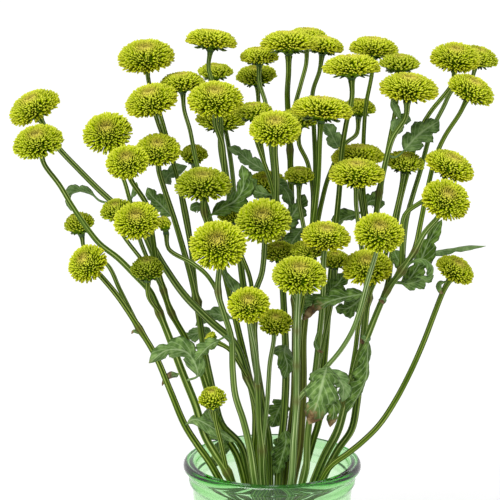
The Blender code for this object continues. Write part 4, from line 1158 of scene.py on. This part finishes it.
def run_of(places):
    """How far down its branch each place lies."""
    return np.concatenate([[0.0], np.cumsum(np.linalg.norm(np.diff(places, axis=0), axis=1))])


def girths(places, radii, swellings):
    """The stem's radius at each place: a taper, a flare under the bloom and swollen joints."""
    along = run_of(places)
    share = np.minimum(along / TAPER_LENGTH, 1)**EASE
    radius = SLIMNESS * (radii[0] + (radii[1] - radii[0]) * share)
    radius *= 1 + (FLARE - 1) * np.exp(-along / FLARE_LENGTH)
    for joint in swellings:
        near = np.linalg.norm(places - joint, axis=1) / SWELLING_LENGTH
        radius *= 1 + SWELLING * np.exp(-near**2)
    return radius


def ages(places, bloom, swellings):
    """How woody the skin is at each place: most at the joints, and low on an old stem."""
    age = WOODY.get(bloom, 0.0) * np.clip(run_of(places) / OLD_LENGTH - OLD_FROM, 0, 1)
    for joint in swellings:
        near = np.linalg.norm(places - joint, axis=1) / JOINT_AGE_LENGTH
        age = np.maximum(age, JOINT_AGE * np.exp(-near**2))
    return age


triangles = 0
chance = np.random.default_rng(11)
for name in STEMS:
    places, radii, tones, old, edges = [], [], [], [], []
    for branch, line in zip(branches, lines):
        if branch.stem != name:
            continue
        run = fine_line(line)
        start = len(places)
        places.extend(run)
        radii.extend(girths(run, branch.radii, joints[name]))
        tones.extend([PALE_GREY_BRANCHES.get(branch.bloom, chance.uniform(0, PALEST_OTHERS))] * len(run))
        old.extend(ages(run, branch.bloom, joints[name]))
        edges.extend((start + k, start + k + 1) for k in range(len(run) - 1))
    path = bpy.data.meshes.new("path")
    path.from_pydata(places, edges, [])
    for label, values in (("girth", radii), ("tone", tones), ("old", old)):
        path.attributes.new(label, "FLOAT", "POINT").data.foreach_set("value", values)
    mesh = grow(name + "_ribbed", stem_tree, {"Ribs": 6, "Rib depth": 0.12}, path)
    mesh.transform(Matrix.Scale(MM, 4))
    put(mesh, "stem", name)
    triangles += triangles_in(mesh)
print(len(STEMS), "stems,", triangles, "triangles")

# %% [markdown]
# ## Leaves
# A chrysanthemum leaf is cut into rounded lobes that point forwards, dark green above and grey
# green with raised veins beneath. By the time the stems are cut many of them have curled, and
# some are brown at the tip. All leaves follow one rule with different numbers: a ring of points
# is carried along the midrib, wide where the blade is wide and round where it is a stalk.

# %% Leaf material
# Chrysanthemum leaf: thin and leathery, matt, with fine pale veins. The dry part is a dull brown.
leaf_skin, tree, shader = new_material("chrysanthemum_leaf",
                                       {"Roughness": 0.6, "Specular IOR Level": 0.12})
across, along, under, tone, dry = (
    add(tree, "ShaderNodeAttribute", attribute_name=name).outputs["Fac"]
    for name in ("across", "along", "under", "tone", "dry")
)
aside = add(tree, "ShaderNodeMath", [across], operation="ABSOLUTE")
midrib = add(tree, "ShaderNodeMapRange", [aside, 0.03, 0.12, 1.0, 0.0])
forward = add(tree, "ShaderNodeMath", [along, 9.0], operation="MULTIPLY")
swept = add(tree, "ShaderNodeMath", [aside, -2.0, forward], operation="MULTIPLY_ADD")
folded = add(tree, "ShaderNodeMath", [swept, 0.5], operation="PINGPONG")
side_vein = add(tree, "ShaderNodeMapRange", [folded, 0.02, 0.13, 0.65, 0.0])
vein = add(tree, "ShaderNodeMath", [midrib, side_vein], operation="MAXIMUM")
place = add(tree, "ShaderNodeTexCoord").outputs["Object"]
mottle = add(tree, "ShaderNodeTexNoise", {"Vector": place, "Scale": 220.0, "Detail": 3.0})
upper, lower, crisp = (set_ramp(add(tree, "ShaderNodeValToRGB", [mottle]), stops) for stops in (
    [(0.35, "#2E480C"), (0.50, "#466418"), (0.66, "#6C8C38")],
    [(0.35, "#527038"), (0.52, "#6C8A52"), (0.68, "#88A26C")],
    [(0.35, "#2E2214"), (0.50, "#5E4A2C"), (0.66, "#8A7A52")],
))
faced = add(tree, "ShaderNodeMath", [under, tone], operation="MAXIMUM")
blade = add(tree, "ShaderNodeMix", {0: faced, 6: upper, 7: lower}, data_type="RGBA")
paler = add(tree, "ShaderNodeMath", [vein, 0.55], operation="MULTIPLY")
veined = add(tree, "ShaderNodeMix", {0: paler, 6: blade.outputs[2], 7: linear("#A9BE8C")},
             data_type="RGBA")
edge = add(tree, "ShaderNodeMath", [mottle, 0.5, along], operation="MULTIPLY_ADD")
browned = add(tree, "ShaderNodeMath", [edge, dry], operation="ADD")
dead = add(tree, "ShaderNodeMapRange", [browned, 1.34, 1.44])
withered = add(tree, "ShaderNodeMix", {0: dead, 6: veined.outputs[2], 7: crisp}, data_type="RGBA")
tree.links.new(withered.outputs[2], shader.inputs["Base Color"])
print(leaf_skin.name, "has", len(tree.nodes), "nodes")

# %% Where the leaves grow
# The bloom of the branch that carries the leaf, the height where it grows from that branch, the
# points of its midrib as they look, the blade's width, the stalk's share of the length, the
# degrees that the blade is rolled, its lobes, how much it curls, how grey it is, and how dry.
Leaf = namedtuple("Leaf", "branch root midrib width stalk roll lobes curl tone dry")
LEAVES = {
    "leaf_right": Leaf("bloom_34", 358, [(101, 360, -26), (110, 373, -17), (118, 391, -18),
        (127, 406, -20)], 17, 0.12, 25, 3, 0.4, 0.0, 0.1),
    "leaf_front": Leaf("bloom_49", 297, [(38, 286, -88), (34, 270, -92), (27, 252, -90)],
        27, 0.06, -10, 3, 0.5, 0.38, 0.34),
    "leaf_left": Leaf("bloom_02", 286, [(-56, 290, -50), (-64, 306, -56), (-79, 308, -60),
        (-93, 298, -60)], 19, 0.25, 20, 3, 0.3, 0.45, 0.12),
    "leaf_top": Leaf("bloom_19", 452, [(93, 453, 4), (110, 470, 10), (125, 480, 12)],
        22, 0.32, 15, 3, 0.3, 0.5, 0.0),
    "leaf_far": Leaf("bloom_20", 374, [(104, 377, -4), (122, 381, 2), (142, 385, 8),
        (160, 386, 8)], 7, 0.35, 45, 2, 0.6, 0.8, 0.0),
    "leaf_left_upper": Leaf("bloom_45", 315, [(-34, 318, -60), (-41, 315, -63), (-49, 310, -65),
        (-58, 300, -65)], 13, 0.4, 30, 3, 0.5, 0.35, 0.0),
    "leaf_left_pale": Leaf("bloom_38", 332, [(-46, 335, 20), (-53, 330, 22), (-58, 326, 22)],
        12, 0.1, 20, 2, 0.2, 0.6, 0.0),
    "leaf_left_pale_low": Leaf("bloom_36", 313, [(-50, 321, 21), (-59, 320, 24), (-70, 316, 24)],
        12, 0.15, -20, 3, 0.3, 0.6, 0.0),
    "leaf_left_curled": Leaf("bloom_01", 419, [(-130, 420, 14), (-137, 426, 16), (-145, 427, 16),
        (-151, 425, 15), (-151, 412, 14)], 8, 0.35, 40, 3, 1.2, 0.8, 0.1),
    "leaf_left_dark": Leaf("bloom_36", 408, [(-85, 418, 20), (-91, 424, 22), (-94, 430, 24)],
        15, 0.1, 10, 3, 0.4, 0.2, 0.0),
    "leaf_left_grey": Leaf("bloom_36", 430, [(-77, 440, 22), (-71, 443, 25), (-64, 446, 27)],
        13, 0.1, -20, 2, 0.3, 0.9, 0.0),
    "leaf_left_small": Leaf("bloom_10", 420, [(-104, 426, 1), (-102, 434, 0)],
        4, 0.2, 20, 0, 0.3, 0.5, 0.0),
    "leaf_mid_dark": Leaf("bloom_38", 408, [(-37, 415, -21), (-28, 420, -19), (-22, 430, -18),
        (-23, 447, -18)], 17, 0.1, 20, 4, 0.6, 0.1, 0.0),
    "leaf_mid_dark_low": Leaf("bloom_38", 407, [(-51, 414, -21), (-57, 416, -19), (-62, 413, -19)],
        11, 0.2, -20, 2, 0.5, 0.3, 0.0),
    "leaf_mid_long": Leaf("young_24", 444, [(-18, 450, 21), (-25, 456, 24), (-34, 460, 25)],
        12, 0.05, 15, 3, 0.4, 0.7, 0.0),
    "leaf_mid_behind": Leaf("young_24", 423, [(-14, 428, 9), (-19, 437, 12), (-21, 444, 12)],
        13, 0.1, 15, 3, 0.4, 0.3, 0.0),
    "leaf_mid_small": Leaf("bloom_38", 347, [(-29, 353, -52), (-34, 362, -50), (-38, 370, -49)],
        14, 0.1, 30, 2, 0.5, 0.35, 0.0),
    "leaf_mid_high": Leaf("bloom_23", 398, [(11, 404, 15), (18, 414, 19), (24, 425, 21)],
        17, 0.1, 20, 3, 0.5, 0.2, 0.0),
    "leaf_mid_drop": Leaf("young_29", 402, [(19, 395, 17), (14, 388, 19), (11, 380, 19)],
        14, 0.1, 10, 3, 0.5, 0.3, 0.0),
    "leaf_mid_high_left": Leaf("bloom_11", 428, [(5, 432, 17), (11, 426, 21), (14, 416, 21)],
        13, 0.15, 20, 2, 0.5, 0.3, 0.0),
    "leaf_top_narrow": Leaf("bloom_19", 480, [(91, 490, -1), (89, 497, 0)],
        6, 0.15, 30, 0, 0.4, 0.4, 0.0),
    "leaf_top_back": Leaf("bloom_19", 469, [(92, 473, 3), (98, 480, 5), (104, 480, 6)],
        13, 0.1, -25, 2, 0.4, 0.6, 0.0),
    "leaf_top_triangle": Leaf("young_27", 457, [(47, 464, 59), (43, 472, 61), (39, 478, 62)],
        14, 0.05, 15, 2, 0.3, 0.7, 0.0),
    "leaf_high_right_curled": Leaf("bloom_30", 413, [(52, 406, 28), (47, 402, 30), (44, 406, 31)],
        13, 0.1, 30, 2, 0.8, 0.15, 0.0),
    "leaf_high_right_far": Leaf("bloom_16", 415, [(72, 419, 40), (78, 420, 43), (81, 414, 43)],
        14, 0.1, -10, 3, 0.6, 0.2, 0.0),
    "leaf_right_lobe": Leaf("bloom_34", 370, [(97, 372, -34), (93, 378, -31), (91, 383, -30)],
        12, 0.1, 20, 2, 0.3, 0.2, 0.0),
    "leaf_right_curled": Leaf("bloom_34", 363, [(104, 374, -43), (113, 376, -47), (120, 370, -49),
        (118, 361, -49), (107, 363, -47)], 8, 0.3, 60, 3, 1.0, 0.35, 0.1),
    "leaf_right_petiole": Leaf("bloom_34", 360, [(104, 358, -33), (112, 361, -31),
        (121, 364, -31)], 11, 0.2, 30, 3, 0.8, 0.3, 0.0),
    "leaf_brown_arc": Leaf("bloom_53", 351, [(56, 348, -37), (47, 346, -41), (37, 342, -43),
        (29, 336, -43), (23, 330, -43)], 15, 0.05, 30, 4, 0.6, 0.15, 0.45),
    "leaf_under_bloom": Leaf("bloom_48", 349, [(34, 346, -32), (28, 341, -30), (23, 335, -30)],
        15, 0.05, 20, 3, 0.5, 0.3, 0.0),
    "leaf_mid_deep": Leaf("bloom_48", 347, [(44, 353, -30), (50, 359, -26), (54, 366, -25)],
        17, 0.05, 15, 3, 0.4, 0.1, 0.0),
    "leaf_mid_deep_low": Leaf("bloom_31", 349, [(61, 342, 10), (55, 339, 12), (47, 340, 14)],
        17, 0.05, -10, 4, 0.4, 0.15, 0.0),
    "leaf_right_folded": Leaf("bloom_34", 315, [(71, 304, -30), (70, 288, -32), (64, 274, -33),
        (55, 260, -32)], 17, 0.02, 45, 4, 0.9, 0.15, 0.0),
    "leaf_right_folded_low": Leaf("bloom_34", 291, [(58, 280, -15), (55, 270, -13),
        (50, 262, -12)], 14, 0.02, 20, 3, 0.6, 0.1, 0.0),
    "leaf_front_lobe": Leaf("bloom_49", 297, [(49, 287, -65), (53, 280, -67), (52, 269, -67)],
        13, 0.1, -15, 2, 0.7, 0.75, 0.0),
    "leaf_front_dark": Leaf("bloom_49", 289, [(43, 274, -52), (46, 263, -51), (43, 250, -51)],
        16, 0.05, 10, 4, 0.8, 0.05, 0.3),
    "leaf_centre_dark": Leaf("bloom_23", 312, [(9, 304, -16), (11, 296, -14), (8, 286, -14)],
        18, 0.02, 15, 2, 0.4, 0.2, 0.0),
    "leaf_centre_low": Leaf("bloom_23", 271, [(5, 264, 17), (2, 257, 19), (-1, 250, 19)],
        18, 0.02, 0, 3, 0.4, 0.1, 0.0),
    "leaf_mouth_serrated": Leaf("bloom_23", 250, [(10, 240, 6), (7, 228, 4), (3, 215, 2)],
        16, 0.02, 15, 6, 0.5, 0.15, 0.0),
    "leaf_mouth_dark": Leaf("bloom_23", 241, [(5, 232, 20), (4, 222, 22), (1, 214, 22)],
        16, 0.02, -15, 3, 0.5, 0.1, 0.0),
    "leaf_low_light": Leaf("bloom_42", 252, [(-58, 256, -37), (-49, 252, -41), (-38, 245, -43),
        (-26, 238, -43)], 10, 0.1, 25, 1, 0.4, 0.5, 0.0),
    "leaf_low_behind": Leaf("bloom_35", 242, [(-43, 248, 7), (-46, 256, 9), (-49, 264, 9)],
        18, 0.05, 10, 2, 0.4, 0.25, 0.0),
    "leaf_low_right_of_young": Leaf("bloom_42", 218, [(-41, 228, -15), (-38, 236, -13),
        (-35, 245, -13)], 12, 0.05, 10, 3, 0.4, 0.15, 0.0),
    "leaf_small_q": Leaf("bloom_48", 323, [(32, 314, -40), (35, 308, -41), (38, 306, -42)],
        3, 0.4, 20, 0, 0.6, 0.3, 0.5),
    "leaf_node_right": Leaf("bloom_34", 314, [(70, 316, -29), (66, 313, -31)],
        5, 0.2, 20, 0, 0.8, 0.8, 0.6),
    "leaf_node_small": Leaf("bloom_34", 346, [(84, 347, -36), (82, 343, -38)],
        5, 0.2, 20, 0, 0.8, 0.9, 0.7),
    "leaf_node_left": Leaf("bloom_02", 291, [(-80, 286, -12), (-83, 281, -12)],
        5, 0.2, 20, 0, 0.8, 0.2, 0.8),
    "leaf_scale_left": Leaf("bloom_42", 322, [(-104, 322, -26), (-106, 320, -26)],
        2, 0.2, 20, 0, 0.4, 0.3, 0.5),
    "leaf_hook_right": Leaf("bloom_55", 359, [(126, 358, -17), (126, 353, -18), (128, 350, -18)],
        4, 0.2, 30, 0, 0.8, 0.2, 0.4),
}
print(len(LEAVES), "leaves")

# %% [markdown]
# A ring runs over the blade and back under it, through the same two points on the edges, so the
# blade is closed. Its lobes sweep forwards, its edges wave and curl away, and
# the midrib stands out underneath.

# %% Shape a leaf
STATIONS = 44
LEAF_COLUMNS = (-1.0, -0.82, -0.6, -0.36, -0.12, 0.0, 0.12, 0.36, 0.6, 0.82, 1.0)
STALK_RADIUS = 0.9
BLADE_HALF = 0.28
LOBE_DEPTH = 0.42
TOOTH_DEPTH = 0.12
SEAT_DEPTH = 0.6
# The edges wave by this share of the blade's half width, and sweep forwards by that.
WAVE = 0.20
SWEEP = 0.35
# The midrib's half width in millimetres, and how far it stands out below and sinks in above.
MIDRIB_HALF = 0.9
MIDRIB_BELOW = 0.5
MIDRIB_ABOVE = 0.25


def unit(vector):
    """A vector's direction."""
    return vector / np.linalg.norm(vector)


def leaf_half(share, lobes):
    """Half the blade's width as a share of its widest, at a share of its length."""
    half = math.sin(math.pi * min(max(share, 0.0), 1.0)**0.8)**0.7
    if lobes:
        notch = abs(share * lobes % 1 - 0.5) * 2
        tooth = abs(share * lobes * 3 % 1 - 0.5) * 2
        half *= 1 - LOBE_DEPTH * notch**2 - TOOTH_DEPTH * tooth
    return half


def leaf_seat(leaf):
    """Where a leaf's stalk starts, a little inside the skin of its branch."""
    line, radii = next((line, branch.radii) for branch, line in zip(branches, lines)
                       if branch.bloom == leaf.branch)
    run = fine_line(line)
    heights = np.array([looks(place)[1] for place in run])
    index = int(np.argmin(np.abs(heights - leaf.root)))
    way = seen(*leaf.midrib[0]) - run[index]
    stem_way = unit(run[min(index + 1, len(run) - 1)] - run[index - 1])
    outward = unit(way - stem_way * way.dot(stem_way))
    return run[index] + outward * girths(run, radii, [])[index] * SEAT_DEPTH


def leaf_mesh(name, leaf, phase):
    """A closed leaf from its seat along its midrib."""
    path, _ = smooth(np.array([leaf_seat(leaf)] + [seen(*point) for point in leaf.midrib]), 1.0, 3)
    run = run_of(path)
    even = np.linspace(0, run[-1], STATIONS + 1)
    spine = np.column_stack([np.interp(even, run, path[:, axis]) for axis in range(3)])
    ways = np.gradient(spine, axis=0)
    shape = bmesh.new()
    layers = [shape.verts.layers.float.new(label)
              for label in ("across", "along", "under", "tone", "dry")]
    rings = []
    for station, (place, way) in enumerate(zip(spine, ways)):
        share = station / STATIONS
        way = unit(way)
        side = unit(np.cross(way, VIEWPOINT - place))
        face = np.cross(side, way)
        roll = math.radians(leaf.roll)
        side, face = (side * math.cos(roll) + face * math.sin(roll),
                      face * math.cos(roll) - side * math.sin(roll))
        blade = max(0.0, (share - leaf.stalk) / (1 - leaf.stalk))
        half = leaf.width / 2 * leaf_half(blade, leaf.lobes) + STALK_RADIUS * (1.03 - share)
        thick = BLADE_HALF + (STALK_RADIUS - BLADE_HALF) * math.exp(-(blade / 0.08)**2)
        ring = []
        for level in (1, -1):
            columns = LEAF_COLUMNS if level == 1 else LEAF_COLUMNS[-2:0:-1]
            for column in columns:
                wave = WAVE * abs(column) * math.sin(math.tau * max(leaf.lobes, 2) * blade + phase)
                lift = half * (wave * blade - leaf.curl * column**2 * min(1.0, 3 * blade))
                lift += level * thick * math.sqrt(max(0.0, 1 - column**2))
                near = math.exp(-(column * half / MIDRIB_HALF)**2) * (1 - share)
                begun = min(1.0, 4 * blade)
                lift -= MIDRIB_BELOW * near if level == -1 else MIDRIB_ABOVE * near * begun
                spot = place + side * column * half + face * lift
                spot = spot + way * SWEEP * abs(column) * half * begun
                vert = shape.verts.new(spot * MM)
                for layer, value in zip(layers, (column, blade, level < 0, leaf.tone, leaf.dry)):
                    vert[layer] = float(value)
                ring.append(vert)
        rings.append(ring)
    count = len(rings[0])
    for lower, upper in zip(rings, rings[1:]):
        for k in range(count):
            shape.faces.new((lower[k], lower[(k + 1) % count], upper[(k + 1) % count], upper[k]))
    shape.faces.new(rings[0])
    shape.faces.new(rings[-1])
    mesh = close_up(name, shape)
    mesh.materials.append(leaf_skin)
    return mesh


triangles = 0
chance = np.random.default_rng(23)
for name, leaf in LEAVES.items():
    mesh = leaf_mesh(name + "_blade", leaf, chance.uniform(0, math.tau))
    put(mesh, "leaf", *([name] if name in frame["nodes"] else []))
    triangles += triangles_in(mesh)
print(len(LEAVES), "leaves,", triangles, "triangles")

# %% [markdown]
# ## The vase
# A plain blown-glass vase with a thick rolled lip. Green glass gets its colour inside, from what
# the light loses on its way through: a thin wall looks almost clear, and the lip, where the
# light runs a long way, goes dark green. So the colour is a volume and not a paint.

# %% Glass material
# Green soda glass: clear and smooth, pale where it is thin and dark green along its edges.
glass, tree, shader = new_material("green_soda_glass", {
    "Base Color": (1, 1, 1, 1), "Roughness": 0.02, "Transmission Weight": 1.0, "IOR": 1.5,
})
inside = add(tree, "ShaderNodeVolumeAbsorption", {"Color": linear("#86E459"), "Density": 105.0})
tree.links.new(inside.outputs[0], tree.nodes["Material Output"].inputs["Volume"])
print(glass.name, "has", len(tree.nodes), "nodes")

# %% Blow the vase
FOOT_DIAMETER = 98.0
GLASS = 4.0
FOOT_ROUNDING = 2.0
VASE_SIDES = 160
# The neck and lip as (radius, height): up the outside over a bead, round the lip, down inside.
LIP = (
    (61.0, 196.0), (61.8, 200.0), (63.6, 203.0), (63.9, 205.5), (63.3, 208.0), (65.0, 211.5),
    (67.6, 214.0), (68.0, 216.8), (66.8, 219.2), (65.0, 219.9), (63.6, 219.0), (62.4, 219.2),
    (61.0, 219.6), (59.4, 218.2), (58.6, 214.5), (57.2, 208.0), (57.0, 200.0), (57.0, 196.0),
)
LIP_CHORD = 1.0


def vase_profile():
    """The outline of the glass as (radius, height), from the foot's middle to the floor's."""
    foot = FOOT_DIAMETER / 2
    outline = [(0, 0), (foot - FOOT_ROUNDING, 0)]
    for step in range(1, 5):
        turned = math.radians(90 * step / 4)
        outline.append((foot - FOOT_ROUNDING + FOOT_ROUNDING * math.sin(turned),
                        FOOT_ROUNDING - FOOT_ROUNDING * math.cos(turned)))
    lip, _ = smooth(np.array(LIP), LIP_CHORD)
    outline += [tuple(point) for point in lip]
    corner = foot - GLASS
    return outline + [(corner + 1.5, FLOOR + 3), (corner - 2, FLOOR), (0, FLOOR)]


def lathe(name, outline, sides):
    """A closed shape turned about Z from an outline that starts and ends on the axis."""
    shape = bmesh.new()
    rings = []
    for radius, height in outline:
        count = sides if radius else 1
        rings.append([shape.verts.new((radius * math.cos(math.tau * k / sides),
                                       radius * math.sin(math.tau * k / sides), height))
                      for k in range(count)])
    for lower, upper in zip(rings, rings[1:]):
        for k in range(sides):
            corners = [lower[k % len(lower)], lower[(k + 1) % sides % len(lower)],
                       upper[(k + 1) % sides % len(upper)], upper[k % len(upper)]]
            shape.faces.new(list(dict.fromkeys(corners)))
    mesh = close_up(name, shape)
    mesh.transform(Matrix.Scale(MM, 4))
    return mesh


mesh = lathe("glass_vase", vase_profile(), VASE_SIDES)
mesh.materials.append(glass)
put(mesh, "glass", "vase")
print("the vase has", len(mesh.polygons), "faces")

# %% [markdown]
# ## Studio
# A white sweep: pale floor, white surroundings and one large soft light high on the left.

# %% Floor and light
# A painted floor lies a hair below the vase, twenty metres to each side. The white round about
# lights the flowers a little less than it shows to the camera, so their shadows keep their depth.
FLOOR_HALF = 20.0
FLOOR_LEVEL = -0.0003
white, _, _ = new_material("white_floor", {"Base Color": (0.9, 0.9, 0.9, 1), "Roughness": 0.9})
mesh = bpy.data.meshes.new("floor")
corners = ((-1, -1), (1, -1), (1, 1), (-1, 1))
mesh.from_pydata([(FLOOR_HALF * x, FLOOR_HALF * y, FLOOR_LEVEL) for x, y in corners], [],
                 [(0, 1, 2, 3)])
mesh.materials.append(white)
floor = bpy.data.objects.new("floor", mesh)
bpy.context.scene.collection.objects.link(floor)

world = bpy.data.worlds.new("studio")
world.use_nodes = True
sky = world.node_tree.nodes["Background"]
sky.inputs["Color"].default_value = (1.0, 1.0, 1.0, 1.0)
ray = add(world.node_tree, "ShaderNodeLightPath")
dimmed = add(world.node_tree, "ShaderNodeMapRange",
             [ray.outputs["Is Diffuse Ray"], 0.0, 1.0, 1.0, 0.7])
world.node_tree.links.new(dimmed.outputs[0], sky.inputs["Strength"])
bpy.context.scene.world = world
sun = bpy.data.objects.new("softbox", bpy.data.lights.new("softbox", "SUN"))
sun.data.energy = 2.2
sun.data.angle = math.radians(40)
sun.rotation_euler = (math.radians(38), math.radians(-22), 0)
bpy.context.scene.collection.objects.link(sun)
bpy.context.scene.view_settings.view_transform = "Standard"
print("the light is", round(math.degrees(sun.data.angle)), "degrees wide")
